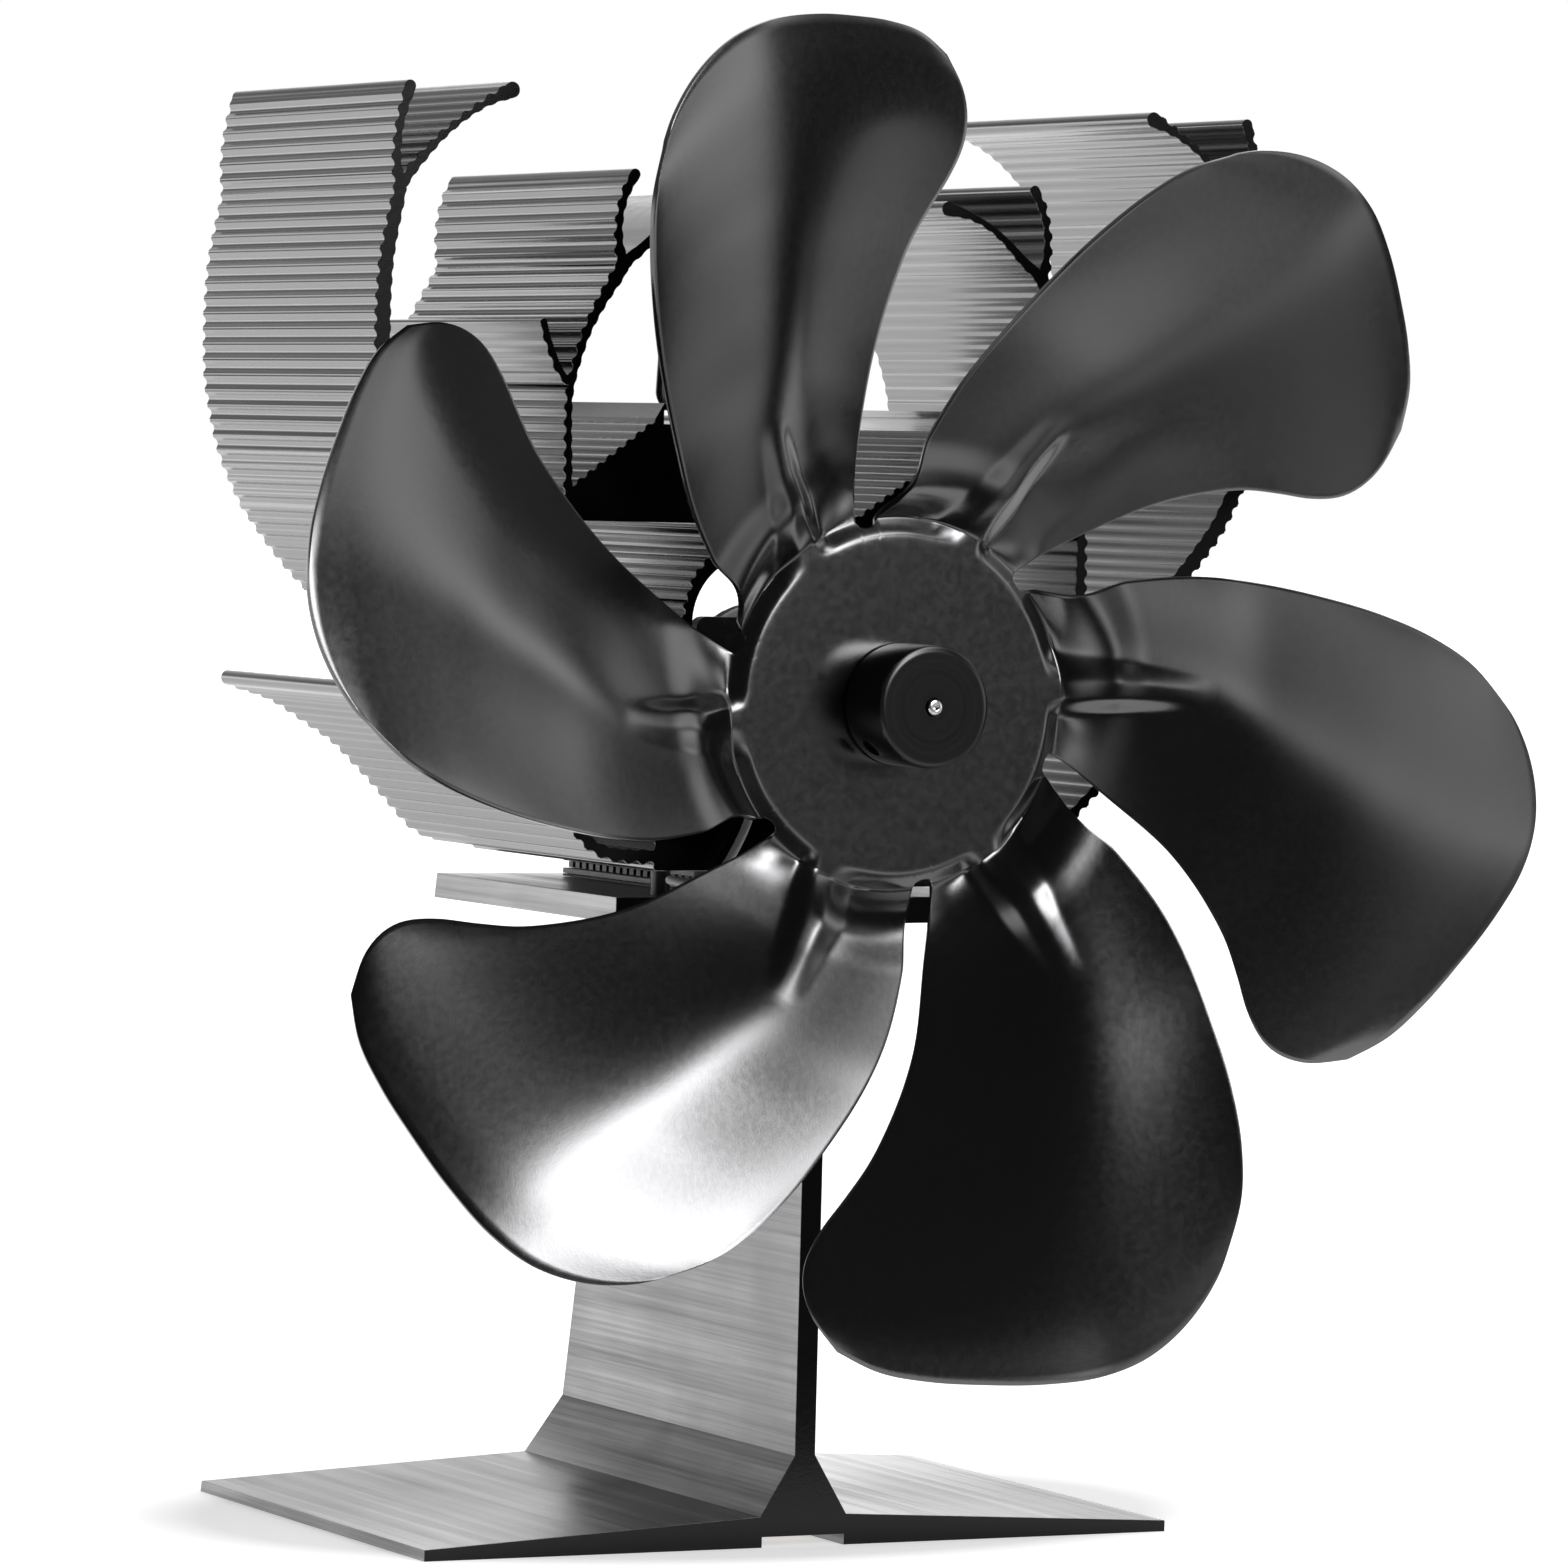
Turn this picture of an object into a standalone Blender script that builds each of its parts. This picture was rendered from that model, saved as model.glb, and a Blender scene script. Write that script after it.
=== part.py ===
"""Stove fan: a self-powered fan that stands on a stove and blows warm air into the room.

Units are metres, +Z is up, the air leaves towards -Y. The fan wheel turns about a line along Y,
and the handle folds about a line along X. Depths are worked out from the front of the heat sink
and moved at the end, so that the origin lies on the floor below the middle of the whole fan.
"""

import math

import bmesh
import bpy
import mathutils
import numpy as np

# General sizes
CLEARANCE = 0.0003
STACK_GAP = 0.0001
OVERRUN = 0.004
MERGE_DISTANCE = 1e-6
UNION_DISTANCE = 1e-7
FULL_TURN = 2 * math.pi

# Stand
HUB_HEIGHT = 0.1113
FLANGE_HALF_WIDTH = 0.0295
FLANGE_THICKNESS = 0.0036
FLANGE_EDGE_THICKNESS = 0.0033
WEB_HALF_THICKNESS = 0.0015
GUSSET_TOP = 0.012
GUSSET_HALF_WIDTH = 0.0063
FOOT_HALF_WIDTH = 0.0545
FOOT_ROOT_THICKNESS = 0.0041
FOOT_EDGE_THICKNESS = 0.0015
FOOT_EXTRA_DEPTH = 0.0178
CHANNEL_HALF_WIDTH = 0.006
CHANNEL_DEPTH = 0.0014

# Thermal strip under the foot
STRIP_WIDTH = 0.0105
STRIP_THICKNESS = 0.0004
STRIP_LENGTH = 0.056
STRIP_SETBACK = 0.006
RIVET_RADIUS = 0.001
RIVET_HEAD_RADIUS = 0.0022
RIVET_HEAD_THICKNESS = 0.0004
RIVET_DEPTH = 0.005
RIVET_INSET = 0.005

# Heat sink core
SINK_DEPTH = 0.0558
SOLE_DROP = 0.0226
CORE_BASE_HALF_WIDTH = 0.0243
CORE_WAIST_HALF_WIDTH = 0.0173
CORE_WAIST_RISE = 0.0193
SHOULDER_UNDERSIDE_RISE = 0.0225
SHOULDER_RISE = 0.0352
SHOULDER_EDGE = 0.0210
HOOK_BACK = 0.0243
HOOK_OUTER = 0.0254
HOOK_SLOT = 0.0018
HOOK_LIP = 0.0009
SHOULDER_TOE_RISE = 0.0268
VALLEY_RISE = 0.0238
VALLEY_HALF_WIDTH = 0.004
FIN_HALF_THICKNESS = 0.0015
FIN_RISE = 0.0400
TUNNEL_HALF_WIDTH = 0.0195
TUNNEL_RISE = 0.0184
TUNNEL_DROP = 0.013
TUNNEL_TOP_RADIUS = 0.0088
TUNNEL_FLOOR_RADIUS = 0.002
TUNNEL_BOSS_WIDTH = 0.0048
TUNNEL_BOSS_HALF_HEIGHT = 0.003

# Heat sink arms
RIB_PITCH = 0.0020
RIB_DEPTH = 0.00045
ARM_THICKNESS = 0.002
PRONG_THICKNESS = 0.0016
SIDE_PRONG_THICKNESS = 0.0012
ARM_TIP_RADIUS = 0.0010
ARM_TIP_ANGLES = (66, 22, -22, -66)
ARM_ROOT_DROP = 0.0128
ARM_ROOT_BITE = 0.0015
OUTER_TIP_HALF_WIDTH = 0.0613
OUTER_TIP_RISE = 0.0772
OUTER_PRONG_RUN = 0.0154
OUTER_PRONG_RISE = 0.0129
TRUNK_HALF_WIDTH = 0.0378
TRUNK_RISE = 0.0267
INNER_TIP_HALF_WIDTH = 0.0293
INNER_TIP_RISE = 0.0672
INNER_PRONG_RUN = 0.0145
INNER_PRONG_RISE = 0.0092
SIDE_PRONG_RUN = 0.0042
SIDE_PRONG_RISE = 0.0078
LOWER_ARM_HALF_WIDTH = 0.0608
LOWER_ARM_RISE = 0.0001
LOWER_ARM_ROOT_DROP = 0.0208

# Thermoelectric module
MODULE_HALF_WIDTH = 0.0145
MODULE_DEPTH = 0.040
MODULE_SETBACK = 0.0078
PAD_THICKNESS = 0.0003
PLATE_THICKNESS = 0.0007
PELLET_HEIGHT = 0.0008
PELLET_INSET = 0.0006
LEAD_RADIUS = 0.00055
LEAD_STEP = 0.0025

# Clamp screws that pull the heat sink onto the stand
CLAMP_HALF_SPACING = 0.0205
CLAMP_INSET = 0.0055
CLAMP_RADIUS = 0.00125
CLAMP_BITE = 0.006
CLAMP_HEAD_RADIUS = 0.0024
CLAMP_HEAD_HEIGHT = 0.0024
CLAMP_WASHER_RADIUS = 0.0032
CLAMP_WASHER_THICKNESS = 0.0008
HEX_RADIUS = 0.0013
HEX_DEPTH = 0.0012

# Motor and its plate
PLATE_HALF_WIDTH = 0.0187
PLATE_RISE = 0.0104
PLATE_DROP = 0.0090
PLATE_CORNER = 0.0015
PLATE_DEPTH = 0.002
PLATE_SETBACK = 0.0004
PLATE_SCREW_SPREAD = 0.0168
SCREW_RADIUS = 0.0009
SCREW_HEAD_RADIUS = 0.0017
SCREW_HEAD_HEIGHT = 0.0012
SCREW_BITE = 0.004
MOTOR_SCREW_SPREAD = 0.008
MOTOR_SCREW_BITE = 0.0024
MOTOR_RADIUS = 0.012
MOTOR_LENGTH = 0.0155
MOTOR_WALL = 0.0009
MOTOR_FACE = 0.0012
END_CAP_THICKNESS = 0.0018
SHAFT_RADIUS = 0.001
BUSH_RADIUS = 0.003
BUSH_LENGTH = 0.0026
BUSH_BORE_GAP = 0.00004
MAGNET_THICKNESS = 0.0016
MAGNET_LENGTH = 0.0088
MAGNET_HALF_ANGLE = math.radians(62)
ARMATURE_RADIUS = 0.0084
ARMATURE_LENGTH = 0.0050
ARMATURE_POLES = 3
ARMATURE_HUB_RADIUS = 0.0022
POLE_NECK_WIDTH = 0.0024
POLE_SHOE_THICKNESS = 0.0012
POLE_HALF_ANGLE = math.radians(48)
WINDING_THICKNESS = 0.0012
COMMUTATOR_RADIUS = 0.0021
COMMUTATOR_LENGTH = 0.0028
BRUSH_WIDTH = 0.0010
BRUSH_THICKNESS = 0.0006
TERMINAL_WIDTH = 0.0022
TERMINAL_THICKNESS = 0.0004
TERMINAL_LENGTH = 0.004
TERMINAL_SPREAD = 0.0075

# Hub boss and fan wheel
WHEEL_GAP = 0.0187
WHEEL_RADIUS = 0.090
SHEET_THICKNESS = 0.0008
DISC_RADIUS = 0.0228
DISC_STEP = 0.0012
DISC_STEP_WIDTH = 0.0006
BLADE_ROOT_RADIUS = 0.0240
BLADE_COUNT = 6
BLADE_FORWARD = 0.0166
FINGER_REACH_RADIUS = 0.041
BOSS_RADIUS = 0.0079
BOSS_LENGTH = 0.0096
BOSS_LIP_RADIUS = 0.0052
BOSS_LIP_LENGTH = 0.0010
BOSS_SPIGOT_RADIUS = 0.0042
BOSS_CHAMFER = 0.0005
BOSS_BORE_GAP = 0.00004
SHAFT_PROUD = 0.0005
SET_SCREW_RADIUS = 0.0013
SET_SCREW_SETBACK = 0.0065
SET_SCREW_RECESS = 0.0008
SET_SCREW_ANGLE = math.radians(225)

# Handle
HANDLE_WIRE_RADIUS = 0.0007
HANDLE_HALF_WIDTH = 0.0113
HANDLE_LEAN = 0.0012
HANDLE_RISE = 0.0300
HANDLE_CORNER = 0.0035
HANDLE_FOOT_CORNER = 0.0022
HANDLE_PIVOT_RISE = 0.0375
HANDLE_FOOT_GAP = 0.0002

# Route of a module lead, from the module's front edge round to the back of the motor, as
# places from the hub axis and from the front of the heat sink, on the left side
LEAD_ROUTE = ((-0.0165, 0.0032, -0.0243), (-0.0215, 0.0004, -0.0238), (-0.0220, -0.0020, -0.0238),
              (-0.0192, -0.0027, -0.0243), (-0.0160, -0.0027, -0.0228),
              (-0.0125, -0.0025, -0.0172), (-0.0110, -0.0018, -0.0130),
              (-0.0105, 0.0005, -0.0111), (-0.0102, 0.0060, -0.0112),
              (-0.0100, 0.0160, -0.0115), (-0.0095, 0.0215, -0.0098),
              (-0.0080, 0.0228, -0.0060))

# Paths of the arms, as shares of the run and of the rise from root to tip
OUTER_ARM_SHARES = ((0, 0), (0.169, 0.066), (0.379, 0.160), (0.577, 0.241), (0.727, 0.301),
                    (0.803, 0.335), (0.870, 0.370), (0.927, 0.403), (0.970, 0.438), (1.008, 0.472),
                    (1.034, 0.507), (1.052, 0.541), (1.069, 0.578), (1.077, 0.616), (1.079, 0.670),
                    (1.078, 0.709), (1.071, 0.753), (1.060, 0.787), (1.043, 0.823), (1.031, 0.849),
                    (1.030, 0.860), (1.038, 0.878), (1.043, 0.902), (1.039, 0.931), (1.026, 0.962),
                    (1, 1))
OUTER_PRONG_SHARES = ((0, 0), (0.117, 0.194), (0.221, 0.333), (0.331, 0.473), (0.448, 0.597),
                      (0.571, 0.713), (0.695, 0.814), (0.818, 0.899), (1, 1))
OUTER_PRONG_START_SHARE = 0.876
INNER_ARM_SHARES = ((0, 0), (-0.018, 0.156), (-0.018, 0.279), (0.035, 0.351), (0.124, 0.417),
                    (0.224, 0.481), (0.359, 0.543), (0.529, 0.607), (0.694, 0.662), (0.806, 0.704),
                    (0.800, 0.728), (0.759, 0.778), (0.747, 0.832), (0.782, 0.894), (0.871, 0.951),
                    (1, 1))
INNER_PRONG_SHARES = ((0, 0), (0.103, 0.152), (0.193, 0.261), (0.283, 0.391), (0.386, 0.543),
                      (0.510, 0.696), (0.648, 0.826), (0.800, 0.924), (1, 1))
INNER_PRONG_START_SHARE = 0.705
SIDE_PRONG_SHARES = ((0, 0), (0.310, 0.128), (0.524, 0.308), (0.714, 0.538), (0.881, 0.769), (1, 1))
SIDE_PRONG_START_SHARE = 0.312
LOWER_ARM_SHARES = ((0, 0), (0.163, 0.010), (0.242, 0.043), (0.295, 0.105), (0.366, 0.234),
                    (0.437, 0.364), (0.513, 0.493), (0.592, 0.622), (0.708, 0.756), (0.817, 0.880),
                    (0.903, 0.945), (1, 1))

# Blade edges: share of the blade's radial length, angle in degrees, share of its forward reach
LEADING_EDGE_SHARES = ((0, -68.0, 0), (0.03, -63.8, 0.139), (0.18, -58.3, 0.386), (0.314, -53.9, 0.566),
                (0.438, -49.5, 0.717), (0.569, -45.2, 0.837), (0.705, -41.2, 0.934),
                (0.821, -37.8, 0.982), (0.909, -34.9, 0.988), (1, -31.0, 0.946))
TRAILING_EDGE_SHARES = ((0, -15.2, 0), (0.159, -9.9, -0.042), (0.369, -4.9, 0.018), (0.516, -0.9, -0.006),
                 (0.59, 1.2, -0.036), (0.67, 3.9, -0.084), (0.744, 6.2, -0.133),
                 (0.833, 7.5, -0.151), (0.926, 6.4, -0.108), (1, 3.8, -0.042))
TIP_SHARES = ((0, 0.911), (0.03, 0.926), (0.08, 0.946), (0.167, 0.973), (0.276, 0.994),
              (0.40, 1), (0.537, 0.992), (0.672, 0.980), (0.793, 0.970), (0.904, 0.956), (1, 0.930))
SPAN_SHARES = (0, 0.05, 0.13, 0.22, 0.31, 0.42, 0.54, 0.66, 0.78, 0.90, 0.96, 1)
CHORD_SHARES = (0, 0.05, 0.14, 0.26, 0.38, 0.50, 0.60, 0.645, 0.725, 0.77, 0.88, 0.95, 1)
FINGER_SHARES = (0.50, 0.645)

# Worked out from the sizes above
STAND_DEPTH = SINK_DEPTH
SOLE_Z = HUB_HEIGHT - SOLE_DROP
STACK_HEIGHT = 2 * (PAD_THICKNESS + PLATE_THICKNESS) + PELLET_HEIGHT + 6 * STACK_GAP
FLANGE_TOP_Z = SOLE_Z - STACK_HEIGHT
WHEEL_BACK_Y = -WHEEL_GAP
PLATE_FRONT_Y = PLATE_SETBACK
MOTOR_FRONT_Y = PLATE_FRONT_Y + PLATE_DEPTH + CLEARANCE
MOTOR_BACK_Y = MOTOR_FRONT_Y + MOTOR_LENGTH
HANDLE_Y = SINK_DEPTH / 2
HANDLE_Z = HUB_HEIGHT + HANDLE_PIVOT_RISE
SHEET_FRONT_Y = WHEEL_BACK_Y - SHEET_THICKNESS
DISC_FRONT_Y = SHEET_FRONT_Y - DISC_STEP
BOSS_FRONT_Y = DISC_FRONT_Y - CLEARANCE - BOSS_LENGTH


# Scene and materials

def clear_scene():
    """Removes every object that the startup file holds."""
    for obj in list(bpy.data.objects):
        bpy.data.objects.remove(obj, do_unlink=True)


def finish(name, grey, roughness, metallic, tint=(1, 1, 1)):
    """A Principled material of one grey level, with an optional tint."""
    material = bpy.data.materials.new(name)
    material.use_nodes = True
    shader = material.node_tree.nodes["Principled BSDF"]
    shader.inputs["Base Color"].default_value = (*(grey * part for part in tint), 1)
    shader.inputs["Roughness"].default_value = roughness
    shader.inputs["Metallic"].default_value = metallic
    return material


def add(name, data, material=None, location=(0, 0, 0), rotation=(0, 0, 0)):
    """Links a new object with its place, its rotation and its material."""
    obj = bpy.data.objects.new(name, data)
    bpy.context.scene.collection.objects.link(obj)
    obj.location = location
    obj.rotation_euler = rotation
    if material is not None:
        data.materials.append(material)
    return obj


# Shapes

def box(name, low, high, material=None, origin=(0, 0, 0)):
    """A box between two corners, with its object's origin where the caller wants it."""
    low, high, origin = (mathutils.Vector(corner) for corner in (low, high, origin))
    mesh = bpy.data.meshes.new(name)
    shape = bmesh.new()
    bmesh.ops.create_cube(shape, size=1)
    bmesh.ops.scale(shape, vec=high - low, verts=shape.verts)
    bmesh.ops.translate(shape, vec=(low + high) / 2 - origin, verts=shape.verts)
    shape.to_mesh(mesh)
    shape.free()
    return add(name, mesh, material, origin)


def rounded(obj, width, segments=2, angle=math.radians(40)):
    """Rounds the sharp edges of an object."""
    bevel = obj.modifiers.new("Rounded edges", "BEVEL")
    bevel.width = width
    bevel.segments = segments
    bevel.limit_method = "ANGLE"
    bevel.angle_limit = angle
    return obj


def turned(name, profile, material, place, rotation, steps=32, ring=False):
    """A turned shape from (radius, height) points that run down its outer side."""
    mesh = bpy.data.meshes.new(name)
    count = len(profile)
    edges = [(i, (i + 1) % count) for i in range(count if ring else count - 1)]
    mesh.from_pydata([(radius, 0, height) for radius, height in profile], edges, [])
    obj = add(name, mesh, material, place, rotation)
    screw = obj.modifiers.new("Turn", "SCREW")
    screw.axis = "Z"
    screw.angle = FULL_TURN
    screw.steps = steps
    screw.render_steps = steps
    screw.use_merge_vertices = True
    screw.merge_threshold = MERGE_DISTANCE
    screw.use_smooth_shade = False
    return obj


ALONG_Y = (-math.pi / 2, 0, 0)
UPRIGHT = (0, 0, 0)


def tube_profile(inner, outer, length):
    """A ring from height 0 up to its length, as a closed section."""
    return [(outer, length), (outer, 0), (inner, 0), (inner, length)]


def prism(name, outlines, front, back, material=None):
    """Outlines in X and Z, filled and extruded along Y from front to back."""
    curve = bpy.data.curves.new(name, "CURVE")
    curve.dimensions = "2D"
    curve.fill_mode = "BOTH"
    curve.extrude = (back - front) / 2
    for outline in outlines:
        spline = curve.splines.new("POLY")
        spline.points.add(len(outline) - 1)
        for point, (x, z) in zip(spline.points, outline):
            point.co = (x, z, 0, 1)
        spline.use_cyclic_u = True
    middle = (0, (front + back) / 2, 0)
    return add(name, curve, material, middle, (math.pi / 2, 0, 0))


def as_mesh(obj):
    """Turns a curve into a closed mesh, so that it can be cut."""
    bpy.context.view_layer.update()
    graph = bpy.context.evaluated_depsgraph_get()
    mesh = bpy.data.meshes.new_from_object(obj.evaluated_get(graph))
    shape = bmesh.new()
    shape.from_mesh(mesh)
    bmesh.ops.remove_doubles(shape, verts=shape.verts, dist=MERGE_DISTANCE)
    shape.to_mesh(mesh)
    shape.free()
    name = obj.name
    place = obj.matrix_world.copy()
    material = obj.active_material
    bpy.data.objects.remove(obj, do_unlink=True)
    solid = add(name, mesh)
    solid.matrix_world = place
    mesh.materials.clear()
    mesh.materials.append(material)
    return solid


def cutters():
    """The collection that keeps the cutting shapes out of the render."""
    found = bpy.data.collections.get("Cutters")
    if found is None:
        found = bpy.data.collections.new("Cutters")
        bpy.context.scene.collection.children.link(found)
        found.hide_render = True
    return found


def cut(target, cutter, operation="DIFFERENCE"):
    """Cuts a target with another object, or joins them, and puts the tool away."""
    if cutter.name not in cutters().objects:
        bpy.context.scene.collection.objects.unlink(cutter)
        cutters().objects.link(cutter)
    cutter.hide_render = True
    cutter.display_type = "WIRE"
    boolean = target.modifiers.new(cutter.name, "BOOLEAN")
    boolean.operation = operation
    boolean.solver = "EXACT"
    boolean.object = cutter


def rod(name, start, end, radius, steps=24, material=None, origin=None):
    """A round rod between two points."""
    start, end = mathutils.Vector(start), mathutils.Vector(end)
    origin = mathutils.Vector(origin if origin is not None else (start + end) / 2)
    mesh = bpy.data.meshes.new(name)
    shape = bmesh.new()
    bmesh.ops.create_cone(shape, cap_ends=True, segments=steps, radius1=radius, radius2=radius,
                          depth=(end - start).length)
    turn = (end - start).to_track_quat("Z", "Y").to_matrix().to_4x4()
    bmesh.ops.transform(shape, matrix=turn, verts=shape.verts)
    bmesh.ops.translate(shape, vec=(start + end) / 2 - origin, verts=shape.verts)
    shape.to_mesh(mesh)
    shape.free()
    return add(name, mesh, material, origin)


def drill(target, name, start, end, radius, steps=24):
    """Drills a round hole between two points."""
    cut(target, rod(name, start, end, radius, steps))


def wire(name, points, radius, material, origin=(0, 0, 0), resolution=2):
    """A round wire along points that are given in the world's frame."""
    curve = bpy.data.curves.new(name, "CURVE")
    curve.dimensions = "3D"
    curve.bevel_depth = radius
    curve.bevel_resolution = resolution
    curve.use_fill_caps = True
    spline = curve.splines.new("POLY")
    spline.points.add(len(points) - 1)
    for point, place in zip(spline.points, points):
        point.co = (*(mathutils.Vector(place) - mathutils.Vector(origin)), 1)
    return add(name, curve, material, origin)


# Outlines

def smooth_path(points, step):
    """Evenly spaced points on a smooth line through the given ones."""
    points = np.array(points, float)
    ends = np.vstack([2 * points[0] - points[1], points, 2 * points[-1] - points[-2]])
    share = np.linspace(0, 1, 16, endpoint=False)[:, None]
    dense = []
    for before, start, end, after in zip(ends, ends[1:], ends[2:], ends[3:]):
        dense.append(0.5 * (2 * start + (end - before) * share
                            + (2 * before - 5 * start + 4 * end - after) * share ** 2
                            + (3 * start - before - 3 * end + after) * share ** 3))
    dense = np.vstack([*dense, points[-1:]])
    length = np.concatenate([[0], np.cumsum(np.linalg.norm(np.diff(dense, axis=0), axis=1))])
    count = max(2, round(length[-1] / step))
    wanted = np.linspace(0, length[-1], count + 1)
    return np.column_stack([np.interp(wanted, length, column) for column in dense.T])


def normals(path):
    """Unit normals on the left of a path."""
    along = np.gradient(path, axis=0)
    along /= np.linalg.norm(along, axis=1)[:, None]
    return np.column_stack([-along[:, 1], along[:, 0]])


def ribbed_strip(path, thickness):
    """The outline of an arm: a path with ribs on both of its sides and a round tip."""
    line = smooth_path(path, RIB_PITCH / 2)
    across = normals(line)
    rib = np.arange(len(line)) % 2 * RIB_DEPTH
    reach = (thickness / 2 - RIB_DEPTH / 2 + rib)[:, None] * across
    side = across[-1] * ARM_TIP_RADIUS * thickness / ARM_THICKNESS
    ahead = np.array([side[1], -side[0]])
    tip = [tuple(line[-1] + ahead * math.cos(angle) + side * math.sin(angle))
           for angle in map(math.radians, ARM_TIP_ANGLES)]
    return [*map(tuple, (line + reach)[:-1]), *tip, *map(tuple, (line - reach)[-2::-1])]


def ribbed_side(start, end, outward):
    """Points from start up to, but not at, end, with ribs on the left of the way."""
    line = smooth_path((start, end), RIB_PITCH / 2)[:-1]
    across = np.array(end, float) - np.array(start, float)
    across = np.array([-across[1], across[0]]) / np.linalg.norm(across) * outward
    rib = (np.arange(len(line)) % 2 * RIB_DEPTH)[:, None]
    return [tuple(point) for point in line + rib * across]


def between(root, tip, shares):
    """A path from root to tip, whose points are shares of the run and of the rise."""
    return [tuple(a + share * (b - a) for a, b, share in zip(root, tip, pair)) for pair in shares]


def point_on(path, share):
    """The point at a share of a path's length, measured by its points."""
    line = smooth_path(path, RIB_PITCH / 2)
    return tuple(line[round(share * (len(line) - 1))])


def height_on(path, x):
    """The height at which a path that runs outwards from its root passes x."""
    line = smooth_path(path, RIB_PITCH / 2)
    lower = line[:np.argmin(line[:, 0])]
    return float(np.interp(-x, -lower[:, 0], lower[:, 1]))


def rounded_corner(x, z, radius, first, steps=6):
    """Points of a quarter circle about (x, z), from the first angle in degrees, anticlockwise."""
    angles = (math.radians(first + 90 * i / steps) for i in range(steps + 1))
    return [(x + radius * math.cos(angle), z + radius * math.sin(angle)) for angle in angles]


def rounded_rectangle(left, bottom, right, top, upper, lower):
    """A rectangle whose upper and lower corners have their own radii."""
    return [*rounded_corner(right - upper, top - upper, upper, 0),
            *rounded_corner(left + upper, top - upper, upper, 90),
            *rounded_corner(left + lower, bottom + lower, lower, 180),
            *rounded_corner(right - lower, bottom + lower, lower, 270)]


def mirrored(outline):
    """The same outline on the other side, still running the same way round."""
    return [(-x, z) for x, z in reversed(outline)]


def lifted(outline, height):
    """The same outline moved up."""
    return [(x, z + height) for x, z in outline]


def united(outlines, holes):
    """The outer and inner edges of the area that the outlines cover, less the holes."""
    points, faces = [], []
    for outline in [*outlines, *holes]:
        faces.append(list(range(len(points), len(points) + len(outline))))
        points.extend(mathutils.Vector(point) for point in outline)
    corners, _, cells, _, _, covers = mathutils.geometry.delaunay_2d_cdt(points, [], faces, 1,
                                                                      UNION_DISTANCE)
    sides = set()
    for cell, cover in zip(cells, covers):
        if cover and max(cover) < len(outlines):
            sides |= set(zip(cell, [*cell[1:], cell[0]]))
    onward = {a: b for a, b in sides if (b, a) not in sides}
    loops = []
    while onward:
        start, step = onward.popitem()
        loop = [start]
        while step != start:
            loop.append(step)
            step = onward.pop(step)
        loops.append([tuple(corners[i]) for i in loop])
    return loops


# Stand

def make_stand():
    """One extrusion with a flange, a web and a wide foot, cut at a slant behind."""
    half = [(FOOT_HALF_WIDTH, 0), (FOOT_HALF_WIDTH, FOOT_EDGE_THICKNESS),
            (GUSSET_HALF_WIDTH, FOOT_ROOT_THICKNESS), (WEB_HALF_THICKNESS, GUSSET_TOP),
            (WEB_HALF_THICKNESS, FLANGE_TOP_Z - FLANGE_THICKNESS),
            (FLANGE_HALF_WIDTH, FLANGE_TOP_Z - FLANGE_EDGE_THICKNESS),
            (FLANGE_HALF_WIDTH, FLANGE_TOP_Z)]
    channel = [(-CHANNEL_HALF_WIDTH, 0), (-CHANNEL_HALF_WIDTH, CHANNEL_DEPTH),
               (CHANNEL_HALF_WIDTH, CHANNEL_DEPTH), (CHANNEL_HALF_WIDTH, 0)]
    metal = finish("Stand metal", 0.16, 0.38, 1)
    stand = as_mesh(prism("stand", [[*half, *mirrored(half), *channel]], 0, STAND_DEPTH, metal))
    for vertex in stand.data.vertices:
        place = stand.matrix_world @ vertex.co
        if place.y > STAND_DEPTH / 2:
            place.y += FOOT_EXTRA_DEPTH * (1 - place.z / FLANGE_TOP_Z)
            vertex.co = stand.matrix_world.inverted() @ place
    drill(stand, "Rivet hole", (0, STRIP_SETBACK + RIVET_INSET, -OVERRUN),
          (0, STRIP_SETBACK + RIVET_INSET, CHANNEL_DEPTH + RIVET_DEPTH + CLEARANCE),
          RIVET_RADIUS + CLEARANCE)
    for _, x, y in clamp_places():
        drill(stand, "Clamp clearance", (x, y, FLANGE_TOP_Z - FLANGE_THICKNESS - OVERRUN),
              (x, y, FLANGE_TOP_Z + STACK_HEIGHT / 2), CLAMP_RADIUS + CLEARANCE)
    return stand


def make_thermal_strip():
    """The bimetal strip under the foot, which lifts the fan off a stove that is too hot."""
    top = CHANNEL_DEPTH - CLEARANCE
    strip = box("bimetal_strip", (-STRIP_WIDTH / 2, STRIP_SETBACK, top - STRIP_THICKNESS),
                (STRIP_WIDTH / 2, STRIP_SETBACK + STRIP_LENGTH, top),
                finish("Bimetal", 0.45, 0.4, 1, (1, 0.93, 0.82)))
    centre = STRIP_SETBACK + RIVET_INSET
    drill(strip, "Strip hole", (0, centre, 0), (0, centre, CHANNEL_DEPTH),
          RIVET_RADIUS + CLEARANCE / 2)
    head_top = top - STRIP_THICKNESS - STACK_GAP
    profile = [(0, CHANNEL_DEPTH + RIVET_DEPTH), (RIVET_RADIUS, CHANNEL_DEPTH + RIVET_DEPTH),
               (RIVET_RADIUS, head_top), (RIVET_HEAD_RADIUS, head_top),
               (RIVET_HEAD_RADIUS * 0.8, head_top - RIVET_HEAD_THICKNESS),
               (0, head_top - RIVET_HEAD_THICKNESS)]
    turned("strip_rivet", profile, finish("Rivet steel", 0.5, 0.35, 1), (0, centre, 0), UPRIGHT)


# Heat sink

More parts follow.
